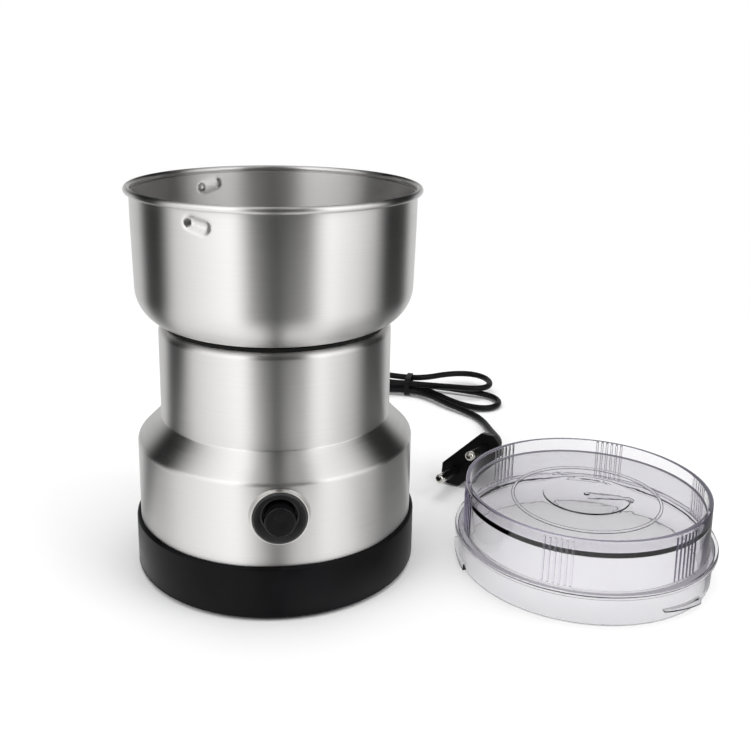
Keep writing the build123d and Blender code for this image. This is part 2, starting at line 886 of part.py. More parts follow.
def button_bezel():
    dish = bezel_front - dish_depth
    back = dish - bezel_web
    hole = cap_radius + cap_hole_gap
    ring = turned(
        (bezel_radius, -bezel_front),
        (bezel_radius, -collar_front + sheet),
        (sleeve_radius, -collar_front + sheet),
        (sleeve_radius, -sleeve_back),
        (sleeve_bore, -sleeve_back),
        (sleeve_bore, -back),
        (hole, -back),
        (hole, -dish),
        (dish_floor_radius, -dish),
        (bezel_radius - bezel_lip, -bezel_front),
    )
    return forward(ring)


def bezel_nut():
    flat = math.sqrt((housing_radius - sheet) ** 2 - nut_ring_radius**2) - clearance
    ring = tube(nut_ring_radius, sleeve_radius + seat_gap, -flat, -flat + nut_ring_height)
    notch = Pos(nut_ring_radius, 0, -flat + nut_ring_height) * Box(
        nut_ring_notch, nut_ring_notch, nut_ring_height
    )
    return forward(ring - around(notch, nut_ring_notches))


def cap_flange_front():
    return bezel_front - dish_depth - bezel_web - cap_rest_gap


def button_cap():
    face = bezel_front + cap_proud
    flange = cap_flange_front()
    head = disc(cap_radius, -face, -flange)
    head = fillet(head.faces().sort_by(Axis.Z)[0].edges(), cap_edge_fillet)
    head += disc(cap_flange_radius, -flange, -flange + cap_flange)
    head += disc(stem_radius, -flange, -sleeve_back + stem_reach)
    return forward(head)


def button_spring():
    start = -cap_flange_front() + cap_flange + seat_gap
    length = -sleeve_back - seat_gap - start
    return forward(
        Pos(0, 0, start) * coil_spring(button_spring_radius, button_wire_radius, button_spring_turns, length)
    )


def switch_body():
    block = Box(switch_width, switch_width, switch_depth, align=UP)
    block = fillet(block.edges().filter_by(Axis.Z), switch_edge_fillet)
    block -= Cylinder(stem_radius + clearance, 2 * (stem_reach + button_travel + clearance))
    return forward(Pos(0, 0, -sleeve_back) * block)


def switch_terminals():
    hanging = (Align.CENTER, Align.CENTER, Align.MAX)
    tab = Box(terminal_width, terminal_thickness, terminal_length, align=hanging)
    eye = Rot(90, 0, 0) * Cylinder(terminal_eye_radius, overrun)
    eye = Pos(0, 0, -terminal_length * terminal_eye_share) * eye
    under = button_height - switch_width / 2
    middle = -sleeve_back + switch_depth / 2
    return [Pos(x, middle, under) * (tab - eye) for x in (-terminal_spread, terminal_spread)]


# Lid

def lid_ramp():
    """Sloping bayonet rib on the lid's skirt, on the -Y side."""
    half = ramp_length / 2
    outline = make_face(
        Polyline(
            (-half, ramp_low + ramp_drop + ramp_tip),
            (-half, ramp_low + ramp_drop),
            (half, ramp_low),
            (half, ramp_low + ramp_heel),
            close=True,
        )
    )
    slab = extrude(Plane.XZ * outline, skirt_radius + 2 * ramp_reach)
    return slab & tube(skirt_radius + ramp_reach, skirt_radius - lid_wall / 2, 0, flange_top)


def lid():
    flange_bottom = flange_top - flange_thickness
    plate = lid_height - lid_recess
    foot = skirt_radius - skirt_draft
    shell = Polyline(
        (foot, 0),
        (skirt_radius, flange_bottom),
        (flange_radius, flange_bottom),
        (flange_radius, flange_top),
        (drum_radius + drum_draft, flange_top),
        (drum_radius, lid_height),
        (drum_radius - lid_wall, lid_height),
        (drum_radius - lid_wall, plate),
        (0, plate),
        (0, plate - lid_wall),
        (drum_radius - lid_wall, plate - lid_wall),
        (drum_radius - lid_wall, flange_bottom),
        (skirt_radius - lid_wall, flange_bottom),
        (foot - lid_wall, 0),
        close=True,
    )
    face = make_face(shell)
    rim = face.vertices().filter_by(lambda v: v.X > flange_radius - seat_gap)
    cup = revolve(Plane.XZ * fillet(rim, flange_edge_fillet), Axis.Z)
    cup += disc(disc_step_radius, plate - lid_wall / 2, plate + disc_step)
    cup += disc(gate_radius, plate, plate + disc_step + gate_height)
    under = plate - lid_wall
    cup += tube(under_ring_radius, under_ring_radius - under_ring_width, under - under_ring_height, under)
    rib_top = lid_height - grip_end_gap
    rib = post(0, -drum_radius - drum_draft / 2, grip_rib_radius, flange_top, rib_top)
    step = math.degrees(grip_pitch / drum_radius)
    for group in range(grip_groups):
        for i in range(grip_ribs):
            turn = grip_azimuth + group * 360 / grip_groups + (i - (grip_ribs - 1) / 2) * step
            cup += Rot(0, 0, turn) * rib
    for ramp in around(lid_ramp(), ramp_count, ramp_azimuth):
        cup += ramp
    return Pos(lid_x, lid_y, 0) * cup


# Cord gland at the back of the base

def cord_gland():
    outside = base_radius + gland_flange
    inside = base_inner_radius
    body = turned(
        (0, inside - gland_flange),
        (gland_collar_radius, inside - gland_flange),
        (gland_collar_radius, inside - clearance),
        (gland_neck_radius, inside - clearance),
        (gland_neck_radius, base_radius),
        (gland_flange_radius, base_radius),
        (gland_flange_radius, outside),
        (gland_root_radius, outside),
        (gland_tip_radius, base_radius + gland_length),
        (0, base_radius + gland_length),
    )
    reach = gland_length - gland_flange
    for i in range(gland_grooves):
        middle = outside + reach * (i + 1) / (gland_grooves + 1)
        radius = gland_root_radius + (gland_tip_radius - gland_root_radius) * (i + 1) / (gland_grooves + 1)
        low = middle - gland_groove_width / 2
        body -= tube(gland_flange_radius, radius - gland_groove_depth, low, low + gland_groove_width)
    return Pos(0, 0, gland_height) * Rot(-90, 0, 0) * body


# Plug, lying on one of its slanted ends

plug_reach = (plug_width / 2 + plug_end_half) / math.sqrt(2)
plug_slope = math.radians(plug_tilt)
plug_lift = plug_floor_gap + plug_front * math.sin(plug_slope) + plug_reach * math.cos(plug_slope)
plug_turn = Rot(0, 0, plug_heading - 90) * Rot(-plug_tilt, 0, 0) * Rot(0, -45, 0)
plug_place = Pos(plug_x, plug_y, plug_lift) * plug_turn
plug_back = plug_front + plug_taper
plug_tail = plug_back + plug_relief_length


def plug_section(width, thickness, distance):
    """Long plate across the plug, with all four edges cut at 45 degrees."""
    half = thickness / 2
    section = chamfer(Rectangle(width, thickness).vertices(), half - plug_end_half)
    return Plane((0, distance, 0), x_dir=(1, 0, 0), z_dir=(0, 1, 0)) * section


def plug_body():
    front = loft(
        [plug_section(plug_width, plug_thickness, 0), plug_section(plug_width, plug_thickness, plug_front)],
        ruled=True,
    )
    back = loft(
        [
            plug_section(plug_width, plug_thickness, plug_front),
            plug_section(plug_back_width, plug_back_thickness, plug_back),
        ],
        ruled=True,
    )
    relief = Cone(plug_relief_radius, plug_relief_tip_radius, plug_relief_length, align=UP)
    body = front + back + Pos(0, plug_back, 0) * Rot(-90, 0, 0) * relief
    for x in (-pin_spacing / 2, pin_spacing / 2):
        hole = Cylinder(pin_core_radius + seat_gap, pin_root + clearance, align=UP)
        body -= Pos(x, 0, 0) * Rot(-90, 0, 0) * hole
    return plug_place * body


def plug_pins():
    shank = disc(pin_core_radius, -pin_root, pin_sleeve_length)
    shank += disc(pin_radius, pin_sleeve_length, pin_length)
    shank = fillet(shank.faces().sort_by(Axis.Z)[-1].edges(), pin_radius * pin_nose_share)
    pin = Rot(90, 0, 0) * shank
    return [plug_place * Pos(x, 0, 0) * pin for x in (-pin_spacing / 2, pin_spacing / 2)]


def pin_sleeves():
    sleeve = tube(pin_sleeve_radius, pin_core_radius + seat_gap, 0, pin_sleeve_length)
    return [plug_place * Pos(x, 0, 0) * Rot(90, 0, 0) * sleeve for x in (-pin_spacing / 2, pin_spacing / 2)]


# Hank of cord

hank_place = Pos(hank_x, hank_y, 0) * Rot(0, 0, hank_heading)


def smooth(share):
    """Ease from 0 to 1 with level ends."""
    share = min(max(share, 0), 1)
    return share * share * (3 - 2 * share)


def hank_spot(turn):
    """Place on the hank after so many turns, in the hank's own frame."""
    angle = 2 * math.pi * turn
    last = hank_layers
    if turn < 0 or turn > last:
        inset = -hank_step * max(-turn, turn - last)
    else:
        inset = hank_step * (turn % 1 if int(turn) % 2 == 0 else 1 - turn % 1)
    layer = sum(smooth((turn - k - hank_climb_start_share) / hank_climb_share) for k in range(last - 1))
    level = layer - (last - 1) / 2
    reach = hank_left if math.sin(angle) > 0 else hank_right - hank_stagger * level
    across = hank_waist - inset + hank_swell * abs(math.sin(angle)) ** hank_swell_power_share
    lift = (tie_thickness + 2 * tie_gap) * math.cos(angle) ** 2
    height = cord_radius + hank_floor_gap + lift + hank_layer_pitch * layer
    u = -(reach - inset) * math.sin(angle)
    v = -hank_peel * (max(-turn, 0) / hank_lead_share) ** 2 - across * math.cos(angle)
    fan = math.radians(level * hank_fan_angle) * smooth(u / reach / hank_bend_share)
    return Vector(u * math.cos(fan) - v * math.sin(fan), u * math.sin(fan) + v * math.cos(fan), height)


def hank_course(turn):
    """Heading of the hank's cord after so many turns."""
    return (hank_spot(turn + hank_probe_share) - hank_spot(turn - hank_probe_share)).normalized()


hank_first = -hank_lead_share
hank_last = hank_layers + hank_lead_share


def report_cord(name, path, cord):
    """Print a cord's length, and its volume as a length of its section."""
    section = math.pi * cord_radius**2
    print(name, "length", round(path.length, 1), "volume over section", round(cord.volume / section, 1))


def in_place(spot):
    """A point of the hank's own frame in the part's frame."""
    return (hank_place * Pos(spot.X, spot.Y, spot.Z)).position


def hank_end(turn, distance):
    """Place straight on from the hank's curve, in the hank's own frame."""
    return hank_spot(turn) + hank_course(turn) * distance


def cord_hank():
    turns = [hank_first] + [i / hank_samples for i in range(hank_layers * hank_samples + 1)] + [hank_last]
    points = [hank_spot(t) for t in turns]
    courses = [hank_course(t) for t in turns]
    start = hank_end(hank_first, -2 * cord_radius)
    finish = hank_end(hank_last, 2 * cord_radius)
    path = Wire([Line(start, points[0])] + biarc_path(points, courses) + [Line(points[-1], finish)])
    cord = sweep(Plane(start, z_dir=courses[0]) * Circle(cord_radius), path=path)
    report_cord("cord_hank", path, cord)
    print("cord_hank least gap to itself", round(own_gap(path), 2))
    return hank_place * cord


def own_gap(path):
    """Least gap of a cord to itself, measured on points along its path."""
    points = [path @ (i / hank_probes) for i in range(hank_probes + 1)]
    apart = round(hank_apart_share * hank_probes)
    pairs = [(a, b) for i, a in enumerate(points) for b in points[i + apart :]]
    return min((a - b).length for a, b in pairs) - 2 * cord_radius


def hank_tie():
    low = -hank_waist - cord_radius - tie_gap
    high = hank_waist - hank_step / 2 + cord_radius + tie_gap
    bend = cord_radius + tie_gap
    bottom = hank_floor_gap
    top = hank_spot(hank_layers).Z + cord_radius + tie_gap + tie_thickness
    outside = RectangleRounded(high - low + 2 * tie_thickness, top - bottom, bend + tie_thickness)
    inside = RectangleRounded(high - low, top - bottom - 2 * tie_thickness, bend)
    band = extrude(Plane.YZ * (outside - inside), tie_width / 2, both=True)
    return hank_place * Pos(0, (low + high) / 2, (bottom + top) / 2) * band


# Free stretches of the cord

def cord_run(name, points):
    """Tube along straight runs joined by arcs as large as the runs allow."""
    points = [Vector(*p) for p in points]
    radii = []
    for before, corner, after in zip(points, points[1:], points[2:]):
        turn = math.radians((corner - before).get_angle(after - corner))
        shorter = min((corner - before).length, (after - corner).length)
        radii.append(cord_arc_share * shorter / math.tan(turn / 2))
    path = FilletPolyline(*points, radius=radii)
    cord = sweep(Plane(points[0], z_dir=points[1] - points[0]) * Circle(cord_radius), path=path)
    print(name, "radii", [round(r, 1) for r in radii])
    report_cord(name, path, cord)
    return cord


exit_route = [
    (0, 91, 10.5),
    (-4, 108, 7),
    (-9, 126, 3),
    (-13, 145, 1.9),
    (-12, 163, 2),
    (-7, 175, 2.6),
    (2, 181.5, 4.2),
    (15, 183.2, 6.3),
]
plug_route = [
    (113.2, 90, 6.0),
    (113.8, 102, 4.0),
    (113.8, 114, 2.5),
    (113.6, 124, 1.95),
    (111.6, 133, 2.0),
]


def cord_exit_run():
    end = in_place(hank_end(hank_last, 2 * cord_radius))
    lead = in_place(hank_end(hank_last, 2 * cord_radius + cord_lead))
    start = (0, base_radius + gland_length, gland_height)
    return cord_run("cord_exit_run", [start] + exit_route + [lead, end])


def cord_plug_run():
    start = (plug_place * Pos(0, plug_tail, 0)).position
    first = (plug_place * Pos(0, plug_tail + plug_lead, 0)).position
    lead = in_place(hank_end(hank_first, -2 * cord_radius - cord_lead))
    end = in_place(hank_end(hank_first, -2 * cord_radius))
    return cord_run("cord_plug_run", [start, first] + plug_route + [lead, end])


pieces = {
    "foot_ring": foot_ring(),
    "base_plate": base_plate(),
    "base_cup": base_cup(),
    "base_screws": base_screws(),
    "case_screws": case_screws(),
    "housing_shell": housing_shell(),
    "bowl": bowl(),
    "bowl_gasket": bowl_gasket(),
    "bowl_screws": bowl_screws(),
    "shaft_seal": shaft_seal(),
    "bowl_carrier": bowl_carrier(),
    "motor_dampers": motor_dampers(),
    "bracket_screws": bracket_screws(),
    "upper_motor_bracket": upper_motor_bracket(),
    "lower_motor_bracket": lower_motor_bracket(),
    "motor_screws": motor_screws(),
    "upper_bearing": bearing(upper_bearing_bottom),
    "lower_bearing": bearing(lower_bearing_bottom),
    "stator_core": stator_core(),
    "field_coils": field_coils(),
    "brush_holders": brush_holders(),
    "carbon_brushes": carbon_brushes(),
    "brush_springs": brush_springs(),
    "motor_shaft": motor_shaft(),
    "armature_core": armature_core(),
    "armature_winding": armature_winding(),
    "commutator": commutator(),
    "shaft_washers": shaft_washers(),
    "cooling_fan": cooling_fan(),
    "lower_blade": lower_blade(),
    "upper_blade": upper_blade(),
    "blade_hub": blade_hub(),
    "blade_washer": blade_washer(),
    "blade_nut": blade_nut(),
    "button_bezel": button_bezel(),
    "bezel_nut": bezel_nut(),
    "button_cap": button_cap(),
    "button_spring": button_spring(),
    "switch_body": switch_body(),
    "switch_terminals": switch_terminals(),
    "lid": lid(),
    "cord_gland": cord_gland(),
    "plug_body": plug_body(),
    "plug_pins": plug_pins(),
    "pin_sleeves": pin_sleeves(),
    "cord_hank": cord_hank(),
    "hank_tie": hank_tie(),
    "cord_exit_run": cord_exit_run(),
    "cord_plug_run": cord_plug_run(),
}

for name, shape in pieces.items():
    export_step(Compound(children=shape) if isinstance(shape, list) else shape, f"parts/{name}.step")
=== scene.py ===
# %% [markdown]
# # A small electric kitchen grinder in Blender
# The imported model gives every piece its place and size in metres. This lesson dresses it: the cord becomes one
# smooth curve, the large turned pieces become clean quad meshes, and every surface gets a material made of nodes.

# %% Load the frame
import json
import math

import bmesh
import bpy
from mathutils import Matrix, Vector


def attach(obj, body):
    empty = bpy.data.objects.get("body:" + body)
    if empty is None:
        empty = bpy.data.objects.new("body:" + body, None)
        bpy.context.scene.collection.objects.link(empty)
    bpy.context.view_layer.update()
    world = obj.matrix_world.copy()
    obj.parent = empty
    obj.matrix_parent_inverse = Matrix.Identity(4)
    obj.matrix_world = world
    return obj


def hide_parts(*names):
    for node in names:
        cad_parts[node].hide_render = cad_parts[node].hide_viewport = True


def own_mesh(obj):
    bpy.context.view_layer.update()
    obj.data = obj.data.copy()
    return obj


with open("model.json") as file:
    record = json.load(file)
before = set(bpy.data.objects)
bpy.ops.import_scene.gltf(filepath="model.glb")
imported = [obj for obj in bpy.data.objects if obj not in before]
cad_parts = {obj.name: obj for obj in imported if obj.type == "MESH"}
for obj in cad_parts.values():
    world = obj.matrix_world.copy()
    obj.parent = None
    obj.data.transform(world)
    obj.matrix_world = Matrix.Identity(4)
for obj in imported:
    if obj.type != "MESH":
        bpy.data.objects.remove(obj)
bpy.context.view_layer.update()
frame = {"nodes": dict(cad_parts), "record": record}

nodes = frame["nodes"]
scene = bpy.context.scene
mm = 0.001


def placed(name, data):
    """A new object in the scene."""
    thing = bpy.data.objects.new(name, data)
    scene.collection.objects.link(thing)
    return thing


# %% [markdown]
# ## Camera
# A camera could be placed by eye, but here it was fitted to the circles of the base, the shoulder, the rim and the
# lid, so its place and its three turns are numbers. The picture was cut a little below the lens axis, which is what
# the shift is for.

# %% Place the camera
yaw, pitch, roll = (math.radians(a) for a in (6.90, 14.55, 1.13))
eye = (-0.0070, -0.3725, 0.2006)
ahead = Vector((math.sin(yaw) * math.cos(pitch), math.cos(yaw) * math.cos(pitch), -math.sin(pitch)))
right = Vector((math.cos(yaw), -math.sin(yaw), 0))
up = right.cross(ahead)
rolled_right = math.cos(roll) * right + math.sin(roll) * up
rolled_up = math.cos(roll) * up - math.sin(roll) * right
lens = bpy.data.cameras.new("photo_camera")
lens.sensor_width = 36
lens.lens = 48.31
lens.shift_y = -0.1
lens.clip_start = 0.01
camera = placed("photo_camera", lens)
turn = Matrix((rolled_right, rolled_up, -ahead)).transposed().to_4x4()
camera.matrix_world = Matrix.Translation(eye) @ turn
scene.camera = camera
print("camera looks down by", round(math.degrees(pitch), 2), "degrees")

# %% [markdown]
# ## Tools for materials
# Colours are written as they look on a screen, in sRGB hex, and one function turns them to the linear values that a
# shader works with. One more function adds a node, sets it up and links it, so that a material reads as a list of
# what it is made of.

# %% Colour and node helpers
# Sockets of a Mix node that mixes colours: two inputs and the output.
tone_a, tone_b, mixed = 6, 7, 2


def linear(hex_colour):
    """An sRGB hex colour as linear RGBA."""
    parts = [int(hex_colour[i : i + 2], 16) / 255 for i in (1, 3, 5)]
    return [c / 12.92 if c <= 0.04045 else ((c + 0.055) / 1.055) ** 2.4 for c in parts] + [1]


def add(tree, kind, fill=None, **settings):
    """Adds a node with its settings; fill gives each input a value, or the socket or node that feeds it."""
    node = tree.nodes.new(kind)
    for name, value in settings.items():
        setattr(node, name, value)
    for name, value in (fill or {}).items():
        if isinstance(value, bpy.types.Node):
            value = value.outputs[0]
        if isinstance(value, bpy.types.NodeSocket):
            tree.links.new(value, node.inputs[name])
        else:
            node.inputs[name].default_value = value
    return node


def begin(name):
    """A new material, its empty tree, and the object coordinates that its patterns follow."""
    material = bpy.data.materials.new(name)
    material.use_nodes = True
    tree = material.node_tree
    tree.nodes.clear()
    return material, tree, add(tree, "ShaderNodeTexCoord").outputs["Object"]


print("middle grey on a screen is", round(linear("#808080")[0], 3), "in linear light")

# %% [markdown]
# ## Moulded finishes
# Most dark pieces of a grinder are moulded: ABS for the base and the button, soft PVC for the cord and plug, rubber
# for the foot and the seals, nylon for the carrier. A flat colour looks like paint. A real moulding has a spark-eroded
# grain, a tone that drifts a little from place to place, and gloss that follows both. One function makes them all
# from a colour, a gloss and the grain's size in millimetres, which is a few times the real one so that it shows.

# %% Moulded plastic and rubber
drift_size = 18


def moulded(name, dark, light, rough, grain, relief, specular=0.5):
    """A moulded finish: two tones, two roughness values, the grain's size and relief in mm."""
    material, tree, place = begin(name)
    fine = add(tree, "ShaderNodeTexNoise", {"Vector": place, "Scale": 1 / (grain * mm), "Detail": 3.0})
    drift = add(tree, "ShaderNodeTexNoise", {"Vector": place, "Scale": 1 / (drift_size * mm), "Detail": 4.0})
    both = add(tree, "ShaderNodeMath", {0: fine, 1: drift, 2: drift}, operation="MULTIPLY_ADD")
    tone = add(tree, "ShaderNodeMapRange", {"Value": both, "From Min": 0.5, "From Max": 1.0})
    colour = add(tree, "ShaderNodeMix", {0: tone, tone_a: linear(dark), tone_b: linear(light)}, data_type="RGBA")
    gloss = add(tree, "ShaderNodeMapRange", {
        "Value": both, "From Min": 0.5, "From Max": 1.0, "To Min": rough[0], "To Max": rough[1],
    })
    bump = add(tree, "ShaderNodeBump", {"Strength": 0.6, "Distance": relief * mm, "Height": fine})
    shader = add(tree, "ShaderNodeBsdfPrincipled", {
        "Base Color": colour.outputs[mixed], "Roughness": gloss, "Normal": bump, "Specular IOR Level": specular,
    })
    add(tree, "ShaderNodeOutputMaterial", {"Surface": shader})
    return material


# Plasticised PVC, extruded over the wires: near black, with a soft satin gloss.
pvc = moulded("black_pvc", "#070708", "#0e0e10", (0.38, 0.50), 0.5, 0.02, 0.15)
# Acrylonitrile butadiene styrene (ABS) from a spark-eroded mould: black, satin, with a very fine grain.
abs_satin = moulded("satin_black_abs", "#0b0b0c", "#131315", (0.30, 0.40), 0.35, 0.012, 0.05)
# The same ABS from a polished mould, as on push buttons: deeper black and clearer highlights.
abs_gloss = moulded("polished_black_abs", "#070708", "#101012", (0.20, 0.28), 0.6, 0.006, 0.15)
# The same ABS for the button's dished ring, in lighter greys: painted light, which stands in for the light its dish
# catches.
abs_painted_lit = moulded("black_abs_painted_lit", "#303030", "#3d3d3d", (0.34, 0.46), 0.3, 0.015, 0.3)
# Nitrile rubber: matt and a little greyer, because its powdery bloom scatters light.
rubber = moulded("nitrile_rubber", "#0f0f0f", "#1a1a1a", (0.62, 0.78), 0.5, 0.03, 0.2)
# Glass-filled nylon 66: warm grey, with a dull skin.
nylon = moulded("glass_filled_nylon", "#9a9a92", "#b4b4aa", (0.42, 0.58), 0.4, 0.02)
# Pressed carbon and graphite: dark grey with a faint sheen.
carbon = moulded("pressed_carbon", "#1c1c1e", "#303033", (0.45, 0.62), 0.25, 0.03)
print("moulded finishes", [m.name for m in (pvc, abs_satin, abs_gloss, abs_painted_lit, rubber, nylon, carbon)])

# %% [markdown]
# ## Hank
# Half of the cord is folded behind the grinder in a hank: two long loops that a tie draws in at the waist. Its points
# could be placed one by one, but a rule keeps the loops even: they swing out on both sides of the tie, the second
# turn climbs onto the first, and the loops fan out on the side that can be seen.

# %% The hank's rule, in mm
cord_radius = 1.7
tie_thickness, tie_gap = 0.8, 0.35
hank_place = Matrix.Translation((81.0, 180.5, 0)) @ Matrix.Rotation(math.radians(-18), 4, "Z")
hidden_reach, seen_reach, seen_growth = 70.0, 54.0, 10.0
waist, bulge = 6.0, 24.0
turn_inset, turn_rise, floor_gap = 5.2, 4.2, 0.15
climb_start, climb_turns = 0.9, 0.35
tail_turns = 0.08
fan_angle = math.radians(31)
hank_steps = 64


def ease(share):
    """From 0 to 1 with level ends."""
    share = min(max(share, 0), 1)
    return share * share * (3 - 2 * share)


def hank_spot(turns):
    """Place on the hank after so many turns, in mm, in the hank's own frame."""
    angle = 2 * math.pi * turns
    if 0 <= turns <= 2:
        inset = turn_inset * (turns % 1 if int(turns) % 2 == 0 else 1 - turns % 1)
    else:
        inset = -turn_inset * max(-turns, turns - 2)
    layer = ease((turns - climb_start) / climb_turns)
    level = layer - 0.5
    reach = hidden_reach if math.sin(angle) > 0 else seen_reach - seen_growth * level
    across = waist - inset + bulge * abs(math.sin(angle)) ** 1.5
    under_tie = (tie_thickness + 2 * tie_gap) * math.cos(angle) ** 2
    height = cord_radius + floor_gap + under_tie + turn_rise * layer
    along = -(reach - inset) * math.sin(angle)
    beside = -((max(-turns, 0) / tail_turns) ** 2) - across * math.cos(angle)
    fan = fan_angle * level * ease(2 * along / reach)
    return Vector((
        along * math.cos(fan) - beside * math.sin(fan), along * math.sin(fan) + beside * math.cos(fan), height,
    ))


def hank_end(turns, further):
    """Place straight on from the hank's end, in mm, in the grinder's frame."""
    course = (hank_spot(turns + 0.001) - hank_spot(turns - 0.001)).normalized()
    return hank_place @ (hank_spot(turns) + course * further)


first_turn, last_turn = 2 + tail_turns, -tail_turns
hank_turns = [first_turn + (last_turn - first_turn) * i / hank_steps for i in range(hank_steps + 1)]
hank_points = [hank_place @ hank_spot(t) * mm for t in hank_turns]
print("hank points", len(hank_points), "highest", round(max(p.z for p in hank_points), 4))

# %% [markdown]
# ## Cord
# The cord is one length of soft PVC lead: out of the gland at the back, down to the table, through the hank and on to
# the plug. It could be swept from arcs, but a lead never bends in true arcs, so it is one NURBS curve whose control
# points are the points of the route. It runs straight on for a few diameters at both ends of the hank.

# %% The whole cord
gland_tip = Vector((0, 0.0785, 0.0105))
exit_route = [
    (0, 0.091, 0.0105), (-0.004, 0.108, 0.007), (-0.009, 0.126, 0.003), (-0.013, 0.145, 0.0019),
    (-0.012, 0.163, 0.002), (-0.007, 0.175, 0.0026), (0.002, 0.1815, 0.0042), (0.015, 0.1832, 0.0063),
]
plug_route = [
    (0.1132, 0.090, 0.006), (0.1138, 0.102, 0.004), (0.1138, 0.114, 0.0025), (0.1136, 0.124, 0.00195),
    (0.1116, 0.133, 0.002),
]
plug_place = (
    Matrix.Translation((89.3, 49.2, 13.8))
    @ Matrix.Rotation(math.radians(55.4 - 90), 4, "Z")
    @ Matrix.Rotation(math.radians(-9.5), 4, "X")
    @ Matrix.Rotation(math.radians(-45), 4, "Y")
)
plug_tail, plug_lead = (plug_place @ Vector((0, y, 0)) * mm for y in (30, 38))
straights = (8 * cord_radius, 2 * cord_radius)
into_hank = [hank_end(first_turn, reach) * mm for reach in straights]
out_of_hank = [hank_end(last_turn, -reach) * mm for reach in reversed(straights)]
route = [gland_tip, *map(Vector, exit_route), *into_hank, *hank_points, *out_of_hank]
route += [*map(Vector, reversed(plug_route)), plug_lead, plug_tail]

line = bpy.data.curves.new("mains_cord", "CURVE")
line.dimensions = "3D"
spline = line.splines.new("NURBS")
spline.points.add(len(route) - 1)
for point, spot in zip(spline.points, route):
    point.co = (*spot, 1)
spline.order_u = 3
spline.use_endpoint_u = True
spline.resolution_u = 6
line.bevel_depth = cord_radius * mm
line.bevel_resolution = 6
line.materials.append(pvc)
cord = placed("mains_cord", line)
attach(cord, "grinder")
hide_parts("cord_exit_run", "cord_hank", "cord_plug_run")
print("cord control points", len(route))

# %% [markdown]
# ## Keeping a machined shape
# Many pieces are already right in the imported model: the plug, the gland, the blades, the screws. They could be
# modelled again, but only their shading is wrong: their meshes are loose triangles, so they would look faceted. The
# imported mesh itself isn't touched. A copy of it is merged, shaded smooth up to an angle, and given a narrow bevel,
# because no real edge is perfectly sharp and the light it catches is what makes an edge visible.

# %% Dress a copy of a node
slot_of = {part["node"]: part["material_slot"] for part in frame["record"]["subparts"]}
body_of = {node: body for body, members in frame["record"]["behaviour"]["bodies"].items() for node in members}
merge_gap = 0.002 * mm
flat_angle, smooth_angle, bevel_angle = (math.radians(a) for a in (0.5, 32, 40))


def settle(piece, material, slot, body, *replaced):
    """Gives a piece its material and its body, and hides the nodes that it stands for. The slot is not used."""
    piece.data.materials.clear()
    piece.data.materials.append(material)
    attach(piece, body)
    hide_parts(*replaced)


def dressed(node, material, bevel=0.0):
    """A merged, smooth copy of a node that stands for it; bevel is in mm."""
    mesh = nodes[node].data.copy()
    mesh.name = node + "_dressed"
    shape = bmesh.new()
    shape.from_mesh(mesh)
    bmesh.ops.remove_doubles(shape, verts=shape.verts, dist=merge_gap)
    bmesh.ops.dissolve_degenerate(shape, edges=shape.edges, dist=merge_gap)
    if bevel:
        bmesh.ops.dissolve_limit(shape, angle_limit=flat_angle, verts=shape.verts, edges=shape.edges)
    shape.to_mesh(mesh)
    shape.free()
    mesh.shade_smooth()
    mesh.set_sharp_from_angle(angle=smooth_angle)
    piece = placed(node + "_dressed", mesh)
    if bevel:
        soft = piece.modifiers.new("soft edges", "BEVEL")
        soft.width = bevel * mm
        soft.segments = 2
        soft.limit_method = "ANGLE"
        soft.angle_limit = bevel_angle
        soft.harden_normals = True
    settle(piece, material, slot_of[node], body_of[node], node)
    print(node, "dressed with", material.name)
    return piece


plug = dressed("plug_body", pvc, 0.35)
sleeves = dressed("pin_sleeves", pvc)
tie = dressed("hank_tie", pvc, 0.15)
dressed("cord_gland", pvc, 0.2)

# %% [markdown]
# ## Plated and bare metals
# A metal shows its colour in its reflections, so these differ in tone and in how the last tool left them: plated pins
# are smooth, zinc screws are cloudy, ground steel has fine random scratches, castings are coarse. Each could be a
# material of its own, but they have the same make-up, so one function makes them from a tone, a gloss and the size of
# that texture, which is drawn coarse enough to show.

# %% Metals without a direction
def metal(name, dark, light, rough, grain, relief):
    """A metal finish: two tones, two roughness values, the texture's size and relief in mm."""
    material, tree, place = begin(name)
    cloud = add(tree, "ShaderNodeTexNoise", {"Vector": place, "Scale": 1 / (grain * mm), "Detail": 5.0})
    colour = add(tree, "ShaderNodeMix", {0: cloud, tone_a: linear(dark), tone_b: linear(light)}, data_type="RGBA")
    gloss = add(tree, "ShaderNodeMapRange", {
        "Value": cloud, "From Min": 0.3, "From Max": 0.7, "To Min": rough[0], "To Max": rough[1],
    })
    bump = add(tree, "ShaderNodeBump", {"Strength": 0.5, "Distance": relief * mm, "Height": cloud})
    shader = add(tree, "ShaderNodeBsdfPrincipled", {
        "Metallic": 1.0, "Base Color": colour.outputs[mixed], "Roughness": gloss, "Normal": bump,
    })
    add(tree, "ShaderNodeOutputMaterial", {"Surface": shader})
    return material


# Bright nickel over brass: almost a mirror, slightly warm.
nickel = metal("nickel_plated_brass", "#c9c6bf", "#dedbd4", (0.12, 0.22), 2.0, 0.004)
# Zinc-plated steel: bluish grey, cloudy from the bath.
zinc = metal("zinc_plated_steel", "#a4a6ab", "#c3c5c8", (0.26, 0.40), 1.2, 0.008)
# Hardened steel, ground: bright, with scratches too fine to see one by one.
ground = metal("ground_steel", "#b3b3b2", "#cfcfcd", (0.18, 0.32), 0.4, 0.006)
# Die-cast aluminium: pale, dull and slightly rough.
alloy = metal("die_cast_aluminium", "#a9abad", "#c2c3c4", (0.38, 0.55), 0.8, 0.03)
# Enamelled copper wire: orange under a clear varnish.
copper = metal("enamelled_copper", "#8f3f1d", "#b9602f", (0.22, 0.36), 0.5, 0.02)
